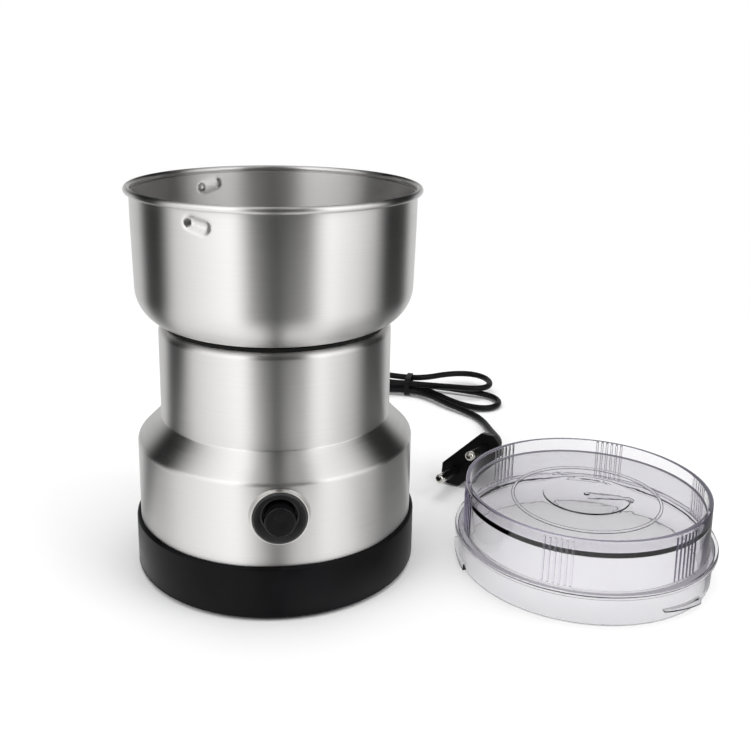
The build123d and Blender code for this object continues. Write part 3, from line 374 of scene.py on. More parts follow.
# Drawn brass: yellow, slightly dulled by air.
brass = metal("drawn_brass", "#b08a48", "#caa763", (0.24, 0.38), 0.7, 0.006)
print("plain metals", [m.name for m in (nickel, zinc, ground, alloy, copper, brass)])

# %% [markdown]
# ## Plug pins and the cord's facts
# The plug's two round pins are plated brass. With them the cord has all its pieces, and its thickness is printed.

# %% Pins and the cord's facts
pins = dressed("plug_pins", nickel)
print("cord across", round(2 * cord_radius, 2), "mm")

# %% [markdown]
# ## Laminated iron
# The stator and the armature are stacks of stamped iron sheets half a millimetre thick. Real sheets could be stacked,
# but they are hidden in the housing, so level lines in the material, one for every two sheets, stand for their edges.

# %% Laminations
sheet = 0.5
iron, tree, place = begin("laminated_iron")
# A Wave texture draws a line for every 2 * pi / 20 of its scaled coordinate.
sheets = add(
    tree, "ShaderNodeTexWave", {"Vector": place, "Scale": math.pi / (20 * sheet * mm), "Distortion": 0.2},
    bands_direction="Z",
)
waved = sheets.outputs["Fac"]
colour = add(tree, "ShaderNodeMix", {0: waved, tone_a: linear("#4b4d52"), tone_b: linear("#85878c")}, data_type="RGBA")
bump = add(tree, "ShaderNodeBump", {"Strength": 0.5, "Distance": 0.03 * mm, "Height": waved})
shader = add(tree, "ShaderNodeBsdfPrincipled", {
    "Metallic": 1.0, "Roughness": 0.5, "Base Color": colour.outputs[mixed], "Normal": bump,
})
add(tree, "ShaderNodeOutputMaterial", {"Surface": shader})
print("a line every", 2 * sheet, "mm")

# %% [markdown]
# ## Brushed stainless steel
# The body and the bowl are stainless sheet, spun and then brushed while they turn. The belt leaves level hairlines all
# the way round, which blur a reflection up and down but keep it clear from side to side: that is why such a body
# shows clean upright bands of light. A picture of hairlines could be wrapped round, but it would have a seam. Here
# they are noise that is stretched along the turn and squeezed across it, at a spacing of about 0.3 mm, which is
# coarser than a real belt's so that it shows. They move the gloss and the tone a little, and the shader's anisotropy
# does the blur. On level faces the hairlines part by their distance from the axis.

# %% Brushed and polished stainless steel
streak_length, level_share = 25, 0.4


def brushed(name, dark, light, rough, streak, relief, directed):
    """Steel brushed round Z: two tones, two roughness values, the hairlines' pitch and relief in mm, how directed."""
    material, tree, place = begin(name)
    axes = add(tree, "ShaderNodeSeparateXYZ", {0: place})
    height = axes.outputs["Z"]
    flat = add(tree, "ShaderNodeCombineXYZ", {"X": axes.outputs["X"], "Y": axes.outputs["Y"]})
    reach = add(tree, "ShaderNodeVectorMath", {0: flat}, operation="LENGTH").outputs["Value"]
    climb = add(tree, "ShaderNodeMath", {0: reach, 1: level_share, 2: height}, operation="MULTIPLY_ADD")
    thin = add(tree, "ShaderNodeMath", {0: climb, 1: 1 / (streak * mm)}, operation="MULTIPLY")
    along = add(tree, "ShaderNodeVectorMath", {0: flat, "Scale": 1 / (streak_length * mm)}, operation="SCALE")
    ends = add(tree, "ShaderNodeSeparateXYZ", {0: along})
    squeezed = add(tree, "ShaderNodeCombineXYZ", {"X": ends.outputs["X"], "Y": ends.outputs["Y"], "Z": thin})
    hair = add(tree, "ShaderNodeTexNoise", {"Vector": squeezed, "Scale": 1.0, "Detail": 4.0, "Roughness": 0.6})
    colour = add(tree, "ShaderNodeMix", {0: hair, tone_a: linear(dark), tone_b: linear(light)}, data_type="RGBA")
    gloss = add(tree, "ShaderNodeMapRange", {
        "Value": hair, "From Min": 0.3, "From Max": 0.7, "To Min": rough[0], "To Max": rough[1],
    })
    bump = add(tree, "ShaderNodeBump", {"Strength": 0.4, "Distance": relief * mm, "Height": hair})
    around = add(tree, "ShaderNodeTangent", direction_type="RADIAL", axis="Z")
    shader = add(tree, "ShaderNodeBsdfPrincipled", {
        "Metallic": 1.0, "Base Color": colour.outputs[mixed], "Roughness": gloss, "Normal": bump,
        "Anisotropic": directed, "Anisotropic Rotation": 0.25, "Tangent": around,
    })
    add(tree, "ShaderNodeOutputMaterial", {"Surface": shader})
    return material


# Stainless steel 304, belt brushed: clean upright bands of light.
stainless = brushed("brushed_stainless_steel", "#bfbebd", "#cfcecd", (0.29, 0.37), 0.3, 0.002, 1.0)
# The same steel inside the bowl, where a coarser belt leaves deeper hairlines and blurs reflections further. Its
# lighter tones are painted light, which brightens the inside of the bowl.
scoured_painted_lit = brushed("coarse_brushed_steel_painted_lit", "#d6d5d4", "#e4e3e2", (0.46, 0.54), 0.35, 0.003, 1.0)
# The same steel, buffed bright where a press has burnished it: clearer reflections, the same in all directions.
buffed = metal("buffed_stainless_steel", "#c4c2bf", "#d6d4d1", (0.20, 0.28), 1.5, 0.003)
print("steels", stainless.name, scoured_painted_lit.name, buffed.name)

# %% [markdown]
# ## Turning on a lathe
# The body, the bowl, the button and the lid are all turned shapes. A Screw modifier could spin them, but a short
# function gives more: it rounds each corner of an outline by its own radius, splits the long straights so that the
# shading stays true beside the roundings, and spins the outline in even steps. The seam and the poles are merged and
# the faces are turned outwards at the end.

# %% Outline and lathe
arc_step, turned_smooth_angle = math.radians(6), math.radians(35)


def rounded(corners, closed=True, stride=2.5):
    """Points of an outline, in mm, from corners given as (across, along, rounding)."""
    count = len(corners)
    points = []
    for i, (across, along, radius) in enumerate(corners):
        here = Vector((across, along))
        if not radius or (not closed and i in (0, count - 1)):
            points.append(here)
            continue
        back = (Vector(corners[i - 1][:2]) - here).normalized()
        on = (Vector(corners[(i + 1) % count][:2]) - here).normalized()
        bend = math.pi - back.angle(on)
        start = here + back * radius * math.tan(bend / 2)
        centre = here + (back + on).normalized() * radius / math.cos(bend / 2)
        spoke = start - centre
        way = -math.copysign(bend, back.x * on.y - back.y * on.x)
        steps = max(3, round(bend / arc_step))
        for k in range(steps + 1):
            points.append(centre + Matrix.Rotation(way * k / steps, 2) @ spoke)
    fine = []
    for a, b in zip(points, points[1:] + points[:1] if closed else points[1:]):
        parts = max(1, math.ceil((b - a).length / stride))
        fine += [a.lerp(b, k / parts) for k in range(parts)]
    return fine if closed else fine + [points[-1]]


def lathe(name, points, steps, closed=True, centre=(0, 0, 0), forward=False, move=None):
    """Spins an outline in mm round Z, or round the button's axis, which points to -Y, if forward."""
    shape = bmesh.new()
    rings = []
    for k in range(steps):
        angle = 2 * math.pi * k / steps
        ring = []
        for across, along in points:
            spot = Vector((across * math.cos(angle), across * math.sin(angle), along))
            if move:
                spot = move(spot)
            if forward:
                spot = Vector((spot.x, -spot.z, spot.y))
            ring.append(shape.verts.new((spot + Vector(centre)) * mm))
        rings.append(ring)
    count = len(points)
    for k, ring in enumerate(rings):
        after = rings[(k + 1) % steps]
        for i in range(count if closed else count - 1):
            j = (i + 1) % count
            shape.faces.new((ring[i], after[i], after[j], ring[j]))
    bmesh.ops.remove_doubles(shape, verts=shape.verts, dist=merge_gap / 4)
    bmesh.ops.recalc_face_normals(shape, faces=shape.faces)
    mesh = bpy.data.meshes.new(name)
    shape.to_mesh(mesh)
    shape.free()
    mesh.shade_smooth()
    mesh.set_sharp_from_angle(angle=turned_smooth_angle)
    print(name, "faces", len(mesh.polygons))
    return placed(name, mesh)


print("points of a rounded square", len(rounded([(0, 0, 1), (9, 0, 1), (9, 9, 1), (0, 9, 1)])))

# %% [markdown]
# ## Body
# The body is one stepped shell of 0.8 mm sheet: a wide drum over the motor, a rolled shoulder, a neck and the deck
# that the bowl stands on. The hole for the button could be left out of the grid, but its edge would be stepped. It is
# cut with a Boolean, which is applied at once so that the piece is a plain mesh.

# %% Spin the body and cut the button's hole
button_height = 39.96
hole_radius = 9.2


def applied(piece):
    """The plain mesh that a piece's modifiers give."""
    return bpy.data.meshes.new_from_object(piece.evaluated_get(bpy.context.evaluated_depsgraph_get()))


body = lathe("steel_body", rounded([
    (53.0, 19.4, 0), (53.0, 51.7, 2.4), (44.1, 60.5, 0.8), (44.1, 95.8, 2.4), (15.0, 95.8, 0),
    (15.0, 95.0, 0), (43.3, 95.0, 1.6), (43.3, 60.17, 1.6), (52.2, 51.37, 1.6), (52.2, 19.4, 0),
]), steps=320)
drill = lathe("drill", rounded([
    (0, 40, 0), (hole_radius, 40, 0), (hole_radius, 60, 0), (0, 60, 0),
], closed=False), steps=64, closed=False, centre=(0, 0, button_height), forward=True)
cut = body.modifiers.new("button hole", "BOOLEAN")
cut.object = drill
cut.operation = "DIFFERENCE"
cut.solver = "EXACT"
bored = applied(body)
body.modifiers.remove(cut)
body.data = bored
bpy.data.objects.remove(drill)
settle(body, stainless, "steel", "grinder", "housing_shell")
print("body faces", len(body.data.polygons))

# %% [markdown]
# ## Dimples
# Three oval dimples are pressed in below the bowl's rim, and the lid's sloping ribs hook under them. The press could
# be a Boolean, but sheet that is pressed bends softly, so the points of a fine grid are moved inwards instead, on
# both faces of the wall at once.

# %% The dimples' rule, in mm
dimple_bearings = [-30 + 120 * k for k in range(3)]
dimple_height, dimple_lean = 140.9, math.radians(14)
dimple_half_length, dimple_reach, dimple_depth, dimple_slope = 2.5, 3.1, 2.1, 0.8
wall_radius, wall_inside = 52.5, 48
pressed_from, pressed_to = 132, 146


def pressed(spot):
    """Moves a point of the bowl's wall inwards where a dimple is pressed."""
    reach = math.hypot(spot.x, spot.y)
    if reach < wall_inside or not pressed_from < spot.z < pressed_to:
        return spot
    bearing = math.degrees(math.atan2(spot.x, -spot.y))
    above = spot.z - dimple_height
    for dimple_bearing in dimple_bearings:
        beside = math.radians((bearing - dimple_bearing + 180) % 360 - 180) * wall_radius
        along = beside * math.cos(dimple_lean) - above * math.sin(dimple_lean)
        across = beside * math.sin(dimple_lean) + above * math.cos(dimple_lean)
        away = math.hypot(max(abs(along) - dimple_half_length, 0), across) / dimple_reach
        if away < 1:
            left = 1 - dimple_depth * ease((1 - away) / dimple_slope) / reach
            return Vector((spot.x * left, spot.y * left, spot.z))
    return spot


print("dimples at bearings", dimple_bearings)

# %% [markdown]
# ## Bowl
# The bowl is drawn from the same sheet. Its wall leans out by a degree, its foot has a large rounding, and its rim is
# rolled into a bead. It could be a single surface with a Solidify modifier, but the rim's bead is thicker than the
# sheet, so one closed outline goes up outside, round the bead and down inside. Its rows are close together where the
# dimples are pressed.

# %% Spin the bowl
bead_across, bead_along, bead_radius = 53.65, 146.95, 1.25
rows, row_rise, row_lean = 22, 0.53, 0.13 / 22
row_foot, out_foot, in_foot = 134.0, 52.77, 51.97
scoured_painted_lit_top = 145.75
bead = [
    (bead_across + bead_radius * math.sin(a), bead_along - bead_radius * math.cos(a))
    for a in (math.radians(20 + 12.5 * k) for k in range(25))
]
wall_out = rounded([(7.0, 97.0, 0), (51.8, 97.0, 14.3), (out_foot, row_foot, 0)], closed=False)
wall_in = rounded([(in_foot, row_foot, 0), (51.0, 97.8, 13.5), (7.0, 97.8, 0)], closed=False)
fine_out = [(out_foot + row_lean * k, row_foot + row_rise * k) for k in range(1, rows + 1)]
fine_in = [(in_foot + row_lean * k, row_foot + row_rise * k) for k in range(rows, 0, -1)]
bowl = lathe("steel_bowl", [*wall_out, *fine_out, *bead, *fine_in, *wall_in], steps=448, move=pressed)
settle(bowl, stainless, "steel", "grinder", "bowl")
# The inward faces below the bead get the lighter steel, which is painted light inside the bowl.
bowl.data.materials.append(scoured_painted_lit)
for face in bowl.data.polygons:
    inward = face.normal.x * face.center.x + face.normal.y * face.center.y < 0 or face.normal.z > 0.5
    face.material_index = int(inward and face.center.z < scoured_painted_lit_top * mm)
print("bowl rim at", round(max(v.co.z for v in bowl.data.vertices), 4))

# %% [markdown]
# ## Base, button and its ring
# The base is the imported moulding, whose edges are already rounded. The button and its dished ring could be dressed in
# the same way, but they are looked at closely, so they are turned about an axis that points at the viewer. Round them
# sits a bright steel collar, which is pressed out of the body. The spring behind the button is dressed in plated zinc.

# %% Base and button
dressed("base_cup", abs_satin)
front = (0, 0, button_height)
ring_face, cap_face = 54.8, 57.9
collar = lathe("button_collar", rounded([
    (9.55, 51.0, 0), (9.55, 54.4, 0.2), (10.1, 54.4, 0.2), (11.15, 51.0, 0),
]), steps=128, centre=front, forward=True)
settle(collar, buffed, "steel", "grinder", "housing_shell")
bezel = lathe("button_ring", rounded([
    (9.45, 53.6, 0), (9.45, ring_face, 0.15), (9.0, ring_face, 0.15), (6.9, 52.4, 0.5), (6.2, 52.4, 0.15),
    (6.2, 50.9, 0), (7.6, 50.9, 0), (7.6, 44.0, 0), (8.7, 44.0, 0), (8.7, 53.6, 0),
], stride=0.6), steps=160, centre=front, forward=True)
# The ring's lighter grey is painted light for the light that its dish catches.
settle(bezel, abs_painted_lit, slot_of["button_bezel"], "grinder", "button_bezel")
cap = lathe("push_button", rounded([
    (0, 57.8, 0), (3.0, 57.95, 6.0), (5.5, cap_face, 0.7), (5.5, 50.6, 0), (7.2, 50.6, 0), (7.2, 49.1, 0),
    (2.0, 49.1, 0), (2.0, 43.0, 0.4), (0, 43.0, 0),
], closed=False, stride=0.6), steps=160, closed=False, centre=front, forward=True)
settle(cap, abs_gloss, slot_of["button_cap"], "button", "button_cap")
spring = dressed("button_spring", zinc)
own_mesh(spring)
print("button stands", round(cap_face - ring_face, 1), "mm proud of its ring")

# %% [markdown]
# ## Clear plastic
# The lid is injection-moulded styrene acrylonitrile (SAN), a hard clear plastic with a faint lilac-grey tint that
# hides its natural yellow. It is almost smooth, but the melt leaves shallow waves that bend what is seen through it,
# so a soft, broad bump goes with the transmission. A tint on the surface alone would leave the edges white. Here most
# of it is absorption inside the plastic: a wall is hardly tinted, but light that is trapped along a wall or a rim goes
# a long way and comes out dark, which draws the dark lines along every edge. So the walls have their real thickness.

# %% Clear SAN
wave_size = 16
clear, tree, place = begin("clear_san")
waves = add(tree, "ShaderNodeTexNoise", {
    "Vector": place, "Scale": 1 / (wave_size * mm), "Detail": 2.0, "Distortion": 0.8,
})
bump = add(tree, "ShaderNodeBump", {"Strength": 0.25, "Distance": 0.25 * mm, "Height": waves})
tint = add(tree, "ShaderNodeMix", {0: waves, tone_a: linear("#faf9fc"), tone_b: linear("#ffffff")}, data_type="RGBA")
shader = add(tree, "ShaderNodeBsdfPrincipled", {
    "Transmission Weight": 1.0, "IOR": 1.5, "Roughness": 0.02, "Base Color": tint.outputs[mixed], "Normal": bump,
})
bulk = add(tree, "ShaderNodeVolumeAbsorption", {"Color": linear("#a8a0ba"), "Density": 36.0})
add(tree, "ShaderNodeOutputMaterial", {"Surface": shader, "Volume": bulk})
print("clear plastic", clear.name)

# %% [markdown]
# ## Lid
# The lid stands open side down beside the grinder. Its drum has a recessed plate with a stepped disc in the middle
# and the stub of the gate that the melt came through. Below the flange is the skirt that goes into the bowl. It could
# be a solid with its hollow cut out, but one outline for both faces of the wall gives every edge its own rounding.

# %% Spin the lid
lid_spot = (121.8, -18.3, 0)
flange_radius = 51.4


def settle_clear(piece):
    """Settles a piece of the lid, which lets the lamps' light through and isn't mirrored in the steel."""
    settle(piece, clear, "clear", "lid", "lid")
    piece.visible_shadow = False
    piece.visible_glossy = False


lid = lathe("clear_lid", rounded([
    (0, 28.1, 0), (1.1, 28.1, 0.3), (1.1, 27.5, 0), (17.0, 27.5, 0.2), (17.0, 27.0, 0.2), (45.9, 27.0, 0.35),
    (45.9, 32.0, 0.45), (47.7, 32.0, 0.45), (48.0, 13.1, 0.5), (flange_radius, 13.1, 0.6), (flange_radius, 11.0, 0.6),
    (49.7, 11.0, 0.5), (49.5, 0, 0.2), (47.7, 0, 0.2), (47.9, 11.0, 0.6), (45.9, 11.0, 0.5), (45.9, 25.2, 0.5),
    (29.5, 25.2, 0), (29.5, 24.4, 0.3), (28.3, 24.4, 0.3), (28.3, 25.2, 0), (0, 25.2, 0),
], closed=False), steps=272, closed=False, centre=lid_spot)
settle_clear(lid)
print("lid across", 2 * flange_radius, "mm")

# %% [markdown]
# ## Tools for geometry trees
# What repeats on the lid follows a rule, and that is what Geometry Nodes are for. A loop could copy a mesh as well,
# but a tree's inputs carry its sizes, so the same rule can be used on another lid. A tree starts with its named
# inputs, ends by putting a shape on its points and making the copies real, and is then turned to a plain mesh.

# %% Start, end and run a tree
grown_smooth_angle = math.radians(40)


def new_tree(name, sizes):
    """A geometry tree with named inputs for its sizes, the sockets of those inputs, and its output node."""
    tree = bpy.data.node_groups.new(name, "GeometryNodeTree")
    tree.interface.new_socket("Geometry", in_out="OUTPUT", socket_type="NodeSocketGeometry")
    for title, value in sizes.items():
        kind = "NodeSocketInt" if isinstance(value, int) else "NodeSocketFloat"
        tree.interface.new_socket(title, in_out="INPUT", socket_type=kind)
    return tree, add(tree, "NodeGroupInput").outputs, add(tree, "NodeGroupOutput")


def repeat(tree, result, points, shape, rotation):
    """Puts a shape on every point, makes the copies real and gives them the lid's plastic."""
    copies = add(tree, "GeometryNodeInstanceOnPoints", {"Points": points, "Instance": shape, "Rotation": rotation})
    solid = add(tree, "GeometryNodeRealizeInstances", {0: copies})
    painted = add(tree, "GeometryNodeSetMaterial", {"Geometry": solid, "Material": clear})
    tree.links.new(painted.outputs[0], result.inputs[0])


def grown(name, tree, sizes, centre):
    """Runs a tree with its sizes and returns its result as a plain mesh in place."""
    holder = placed(name, bpy.data.meshes.new(name))
    step = holder.modifiers.new(name, "NODES")
    step.node_group = tree
    for item in tree.interface.items_tree:
        if item.in_out == "INPUT":
            step[item.identifier] = sizes[item.name]
    mesh = applied(holder)
    holder.modifiers.remove(step)
    mesh.transform(Matrix.Translation(Vector(centre) * mm))
    mesh.shade_smooth()
    mesh.set_sharp_from_angle(angle=grown_smooth_angle)
    holder.data = mesh
    print(name, "faces", len(mesh.polygons))
    return holder


print("a tree's result is smooth up to", round(math.degrees(grown_smooth_angle)), "degrees")

# %% [markdown]
# ## Grip ribs by Geometry Nodes
# Six groups of six fine ribs run down the drum, so that wet fingers can twist the lid. They could be cut into the
# lid's outline, but that would need a far finer spin. Instead every point of a row gets its bearing from its number,
# and a half-round rib, which leans in with the drum's wall, is put on each.

# %% Grow the grip ribs
rib_sizes = {
    "Groups": 6, "Ribs": 6, "Pitch": 2.1 * mm, "Rib Radius": 0.5 * mm, "Drum Radius": 48.02 * mm,
    "Bottom": 13.6 * mm, "Height": 17.3 * mm, "First Bearing": math.radians(-120), "Lean": math.radians(-0.9),
}
ribs, size, result = new_tree("grip_ribs", rib_sizes)
index = add(ribs, "GeometryNodeInputIndex")
in_groups = add(ribs, "ShaderNodeMath", {0: index, 1: size["Ribs"]}, operation="DIVIDE")
group = add(ribs, "ShaderNodeMath", {0: in_groups}, operation="FLOOR")
in_group = add(ribs, "ShaderNodeMath", {0: index, 1: size["Ribs"]}, operation="MODULO")
last = add(ribs, "ShaderNodeMath", {0: size["Ribs"], 1: 1.0}, operation="SUBTRACT")
middle = add(ribs, "ShaderNodeMath", {0: last, 1: 0.5}, operation="MULTIPLY")
off_middle = add(ribs, "ShaderNodeMath", {0: in_group, 1: middle}, operation="SUBTRACT")
pitch_angle = add(ribs, "ShaderNodeMath", {0: size["Pitch"], 1: size["Drum Radius"]}, operation="DIVIDE")
group_angle = add(ribs, "ShaderNodeMath", {0: 2 * math.pi, 1: size["Groups"]}, operation="DIVIDE")
group_bearing = add(
    ribs, "ShaderNodeMath", {0: group, 1: group_angle, 2: size["First Bearing"]}, operation="MULTIPLY_ADD"
)
bearing = add(ribs, "ShaderNodeMath", {0: off_middle, 1: pitch_angle, 2: group_bearing}, operation="MULTIPLY_ADD")
across = add(ribs, "ShaderNodeMath", {0: bearing}, operation="COSINE")
along = add(ribs, "ShaderNodeMath", {0: bearing}, operation="SINE")
spot = add(ribs, "ShaderNodeCombineXYZ", {
    "X": add(ribs, "ShaderNodeMath", {0: across, 1: size["Drum Radius"]}, operation="MULTIPLY"),
    "Y": add(ribs, "ShaderNodeMath", {0: along, 1: size["Drum Radius"]}, operation="MULTIPLY"),
    "Z": size["Bottom"],
})
count = add(ribs, "ShaderNodeMath", {0: size["Groups"], 1: size["Ribs"]}, operation="MULTIPLY")
row = add(ribs, "GeometryNodePoints", {"Count": count, "Position": spot})
spine = add(ribs, "GeometryNodeCurvePrimitiveLine", {
    "End": add(ribs, "ShaderNodeCombineXYZ", {"Z": size["Height"]}),
})
section = add(ribs, "GeometryNodeCurveArc", {
    "Resolution": 9, "Radius": size["Rib Radius"], "Start Angle": -math.pi / 2, "Sweep Angle": math.pi,
    "Connect Center": True,
})
rod = add(ribs, "GeometryNodeCurveToMesh", {"Curve": spine, "Profile Curve": section, "Fill Caps": True})
repeat(ribs, result, row, rod, add(ribs, "ShaderNodeCombineXYZ", {"Y": size["Lean"], "Z": bearing}))
settle_clear(grown("lid_grip_ribs", ribs, rib_sizes, lid_spot))

# %% [markdown]
# ## Sloping ribs by Geometry Nodes
# Three wedges on the skirt slide under the bowl's dimples when the lid is twisted, and draw it down. Each is a thin
# block that is bent round the skirt while it falls and grows taller, so a grid block is reshaped by a rule and then
# put round the skirt three times.

# %% Grow the sloping ribs
ramp_sizes = {
    "Count": 3, "Skirt Radius": 49.72 * mm, "Reach": 1.6 * mm, "Length": 20.0 * mm, "Low": 1.2 * mm,
    "Drop": 3.2 * mm, "Tip": 0.7 * mm, "Heel": 2.6 * mm, "First Bearing": math.radians(-62),
}
ramps, size, result = new_tree("sloping_ribs", ramp_sizes)
block = add(ramps, "GeometryNodeMeshCube", {"Size": (1, 1, 1), "Vertices X": 3, "Vertices Y": 33, "Vertices Z": 3})
where = add(ramps, "ShaderNodeSeparateXYZ", {0: add(ramps, "GeometryNodeInputPosition")}).outputs
out_share, share, height_share = (
    add(ramps, "ShaderNodeMath", {0: where[axis], 1: 0.5}, operation="ADD") for axis in "XYZ"
)
out = add(
    ramps, "ShaderNodeMath", {0: out_share, 1: size["Reach"], 2: size["Skirt Radius"]}, operation="MULTIPLY_ADD"
)
arc = add(ramps, "ShaderNodeMath", {0: where["Y"], 1: size["Length"]}, operation="MULTIPLY")
swing = add(ramps, "ShaderNodeMath", {0: arc, 1: size["Skirt Radius"]}, operation="DIVIDE")
left = add(ramps, "ShaderNodeMath", {0: 1.0, 1: share}, operation="SUBTRACT")
foot = add(ramps, "ShaderNodeMath", {0: left, 1: size["Drop"], 2: size["Low"]}, operation="MULTIPLY_ADD")
grow = add(ramps, "ShaderNodeMath", {0: size["Heel"], 1: size["Tip"]}, operation="SUBTRACT")
tall = add(ramps, "ShaderNodeMath", {0: share, 1: grow, 2: size["Tip"]}, operation="MULTIPLY_ADD")
across = add(ramps, "ShaderNodeMath", {0: swing}, operation="COSINE")
along = add(ramps, "ShaderNodeMath", {0: swing}, operation="SINE")
bent = add(ramps, "ShaderNodeCombineXYZ", {
    "X": add(ramps, "ShaderNodeMath", {0: across, 1: out}, operation="MULTIPLY"),
    "Y": add(ramps, "ShaderNodeMath", {0: along, 1: out}, operation="MULTIPLY"),
    "Z": add(ramps, "ShaderNodeMath", {0: height_share, 1: tall, 2: foot}, operation="MULTIPLY_ADD"),
})
wedge = add(ramps, "GeometryNodeSetPosition", {"Geometry": block, "Position": bent})
number = add(ramps, "GeometryNodeInputIndex")
step_angle = add(ramps, "ShaderNodeMath", {0: 2 * math.pi, 1: size["Count"]}, operation="DIVIDE")
facing = add(
    ramps, "ShaderNodeMath", {0: number, 1: step_angle, 2: size["First Bearing"]}, operation="MULTIPLY_ADD"
)
spots = add(ramps, "GeometryNodePoints", {"Count": size["Count"]})
repeat(ramps, result, spots, wedge, add(ramps, "ShaderNodeCombineXYZ", {"Z": facing}))
settle_clear(grown("lid_sloping_ribs", ramps, ramp_sizes, lid_spot))

# %% [markdown]
# ## Blades and what holds them
# The two crossed blades are stamped and ground, the nut that clamps them is plated, and the seal below them is
# rubber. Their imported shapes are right, so they are dressed as the plug was.

# %% Dress the inside of the bowl and the underside
for node, finish, bevel in (
    ("lower_blade", ground, 0.12), ("upper_blade", ground, 0.12), ("blade_hub", ground, 0.2),
    ("blade_washer", zinc, 0.1), ("blade_nut", nickel, 0.2), ("bowl_screws", zinc, 0.15), ("shaft_seal", rubber, 0.2),
    ("bowl_gasket", rubber, 0.2), ("foot_ring", rubber, 0.3), ("base_plate", abs_satin, 0.2),
    ("base_screws", zinc, 0.15),
):
    dressed(node, finish, bevel)

# %% [markdown]
# ## Inner pieces
# The motor, its frame and the switch are closed in, but they are real pieces. They could be dressed too, but nobody
# sees their edges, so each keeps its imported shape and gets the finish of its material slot.

# %% Finish the inner pieces
finish_of = {
    "steel": stainless, "blade": ground, "fastener": zinc, "black": abs_satin, "button": abs_gloss, "rubber": rubber,
    "cord": pvc, "clear": clear, "nylon": nylon, "iron": iron, "shaftsteel": ground, "copper": copper,
    "brassy": brass, "carbon": carbon, "alloy": alloy, "nickel": nickel,
}
for node, piece in nodes.items():
    piece.data.materials.clear()
    piece.data.materials.append(finish_of[slot_of[node]])
print("finished", len(nodes), "packed pieces in", len(set(slot_of.values())), "materials")

# %% [markdown]
# ## Floor
# The grinder stands on a white sweep. A plain white floor would turn grey far from the lamps. So near the object it is
# a real white surface, which keeps the soft shadow, and further out it fades into plain white light, which the camera,
# the reflections and the clear lid see alike.

# %% Lay the floor
floor_half, floor_white = 6, 0.95
fade_centre, fade_start, fade_end = (0.05, 0.03, 0), 0.22, 0.5


def seen_straight(tree):
    """1 for a ray from the camera, from a reflection or through the lid, and 0 for light that is only passed on."""
    ray = add(tree, "ShaderNodeLightPath").outputs
    direct = add(
        tree, "ShaderNodeMath", {0: ray["Is Camera Ray"], 1: ray["Is Glossy Ray"]}, operation="MAXIMUM"
    )
    return add(tree, "ShaderNodeMath", {0: direct, 1: ray["Is Transmission Ray"]}, operation="MAXIMUM")


corners = [(x * floor_half, y * floor_half, 0) for x, y in ((-1, -1), (1, -1), (1, 1), (-1, 1))]
floor_mesh = bpy.data.meshes.new("floor")
floor_mesh.from_pydata(corners, [], [(0, 1, 2, 3)])
floor = placed("floor", floor_mesh)
sweep, tree, place = begin("white_sweep")
paper = add(tree, "ShaderNodeBsdfDiffuse", {"Color": (floor_white, floor_white, floor_white, 1)})
glow = add(tree, "ShaderNodeEmission", {"Color": (1, 1, 1, 1), "Strength": 1.0})
away = add(tree, "ShaderNodeVectorMath", {0: place, 1: fade_centre}, operation="DISTANCE").outputs["Value"]
far = add(
    tree, "ShaderNodeMapRange", {"Value": away, "From Min": fade_start, "From Max": fade_end},
    interpolation_type="SMOOTHSTEP",
)
faded = add(tree, "ShaderNodeMath", {0: far, 1: seen_straight(tree)}, operation="MULTIPLY")
blend = add(tree, "ShaderNodeMixShader", {0: faded, 1: paper, 2: glow})
add(tree, "ShaderNodeOutputMaterial", {"Surface": blend})
floor_mesh.materials.append(sweep)
print("floor fades from", fade_start, "to", fade_end, "m")

# %% [markdown]
# ## Background
# The world is white where it is seen. A white world lights a scene as well, and from all sides, which would take the
# shadow away, so the light that it passes on is about half of that.

# %% Set the background
passed_on, seen_white = 0.54, 1.0
world = bpy.data.worlds.new("studio")
scene.world = world
world.use_nodes = True
tree = world.node_tree
tree.nodes.clear()
level = add(tree, "ShaderNodeMapRange", {"Value": seen_straight(tree), "To Min": passed_on, "To Max": seen_white})
sky = add(tree, "ShaderNodeBackground", {"Color": (1, 1, 1, 1), "Strength": level})
add(tree, "ShaderNodeOutputWorld", {"Surface": sky})
print("world seen at", seen_white, "and passed on at", passed_on)

# %% [markdown]
# ## Light tent
# Shiny steel shows what is round it. For such pictures it stands in a tent of black cloth with white panels: one on
# each side of the lens and one behind, with black strips between them, which draw the dark bands that give a round
# body its shape. Lamps of that shape could do the same, but they would light the floor too. So the tent is a ring of
# cloth that glows where a panel is, and only reflections see it. The clear lid sees its upright part as well, a little
# dimmer. A panel's outer and inner edges have their own bearings at the foot of the grinder and at the wall, because
# the panels lean. The two in front are brighter towards their inner edges and higher up, and the one behind stays low.

# %% The tent's panels
# Bearings in degrees from the front: the outer and inner edge at the foot, then both at the wall. Then the brightness
# at the outer and at the inner edge.
tent_panels = {
    "left": (-104, -8, -89, -26, 1.0, 1.8),
    "right": (50, 5, 86, 32, 1.0, 1.8),
    "back": (116, 240, 127, 236, 0.9, 0.9),
}
cloth_light, foot_light, front_gain, soft_edge = 0.04, 0.5, 0.6, 20


def tent_light(bearing, rise, climb):
    """Brightness at a bearing; rise goes from 0 at the foot to 1 at the wall, and climb from 0 to 1 up the wall."""
    light = cloth_light + foot_light * (1 - rise) ** 2
    for name, (low_outer, low_inner, high_outer, high_inner, dim, bright) in tent_panels.items():
        outer = low_outer + (high_outer - low_outer) * rise
        inner = low_inner + (high_inner - low_inner) * rise
        middle, half = (outer + inner) / 2, abs(inner - outer) / 2
        away = (bearing - middle + 180) % 360 - 180
        share = min(max(0.5 + away / (inner - outer), 0), 1)
        gain = 1 - climb if name == "back" else 1 + front_gain * climb
        white = (dim + (bright - dim) * share) * gain
        light += (white - light) * ease(0.5 + (half - abs(away)) / soft_edge)
    return light


print("tent straight ahead", round(tent_light(0, 1, 0), 2), "and to the left", round(tent_light(-45, 1, 0), 2))

# %% [markdown]
# ## Hanging the tent
# The tent has two parts. The cloth on the table fills the lower reflections and isn't seen through the lid, which
# stands on the white floor. The walls lean in and close above.

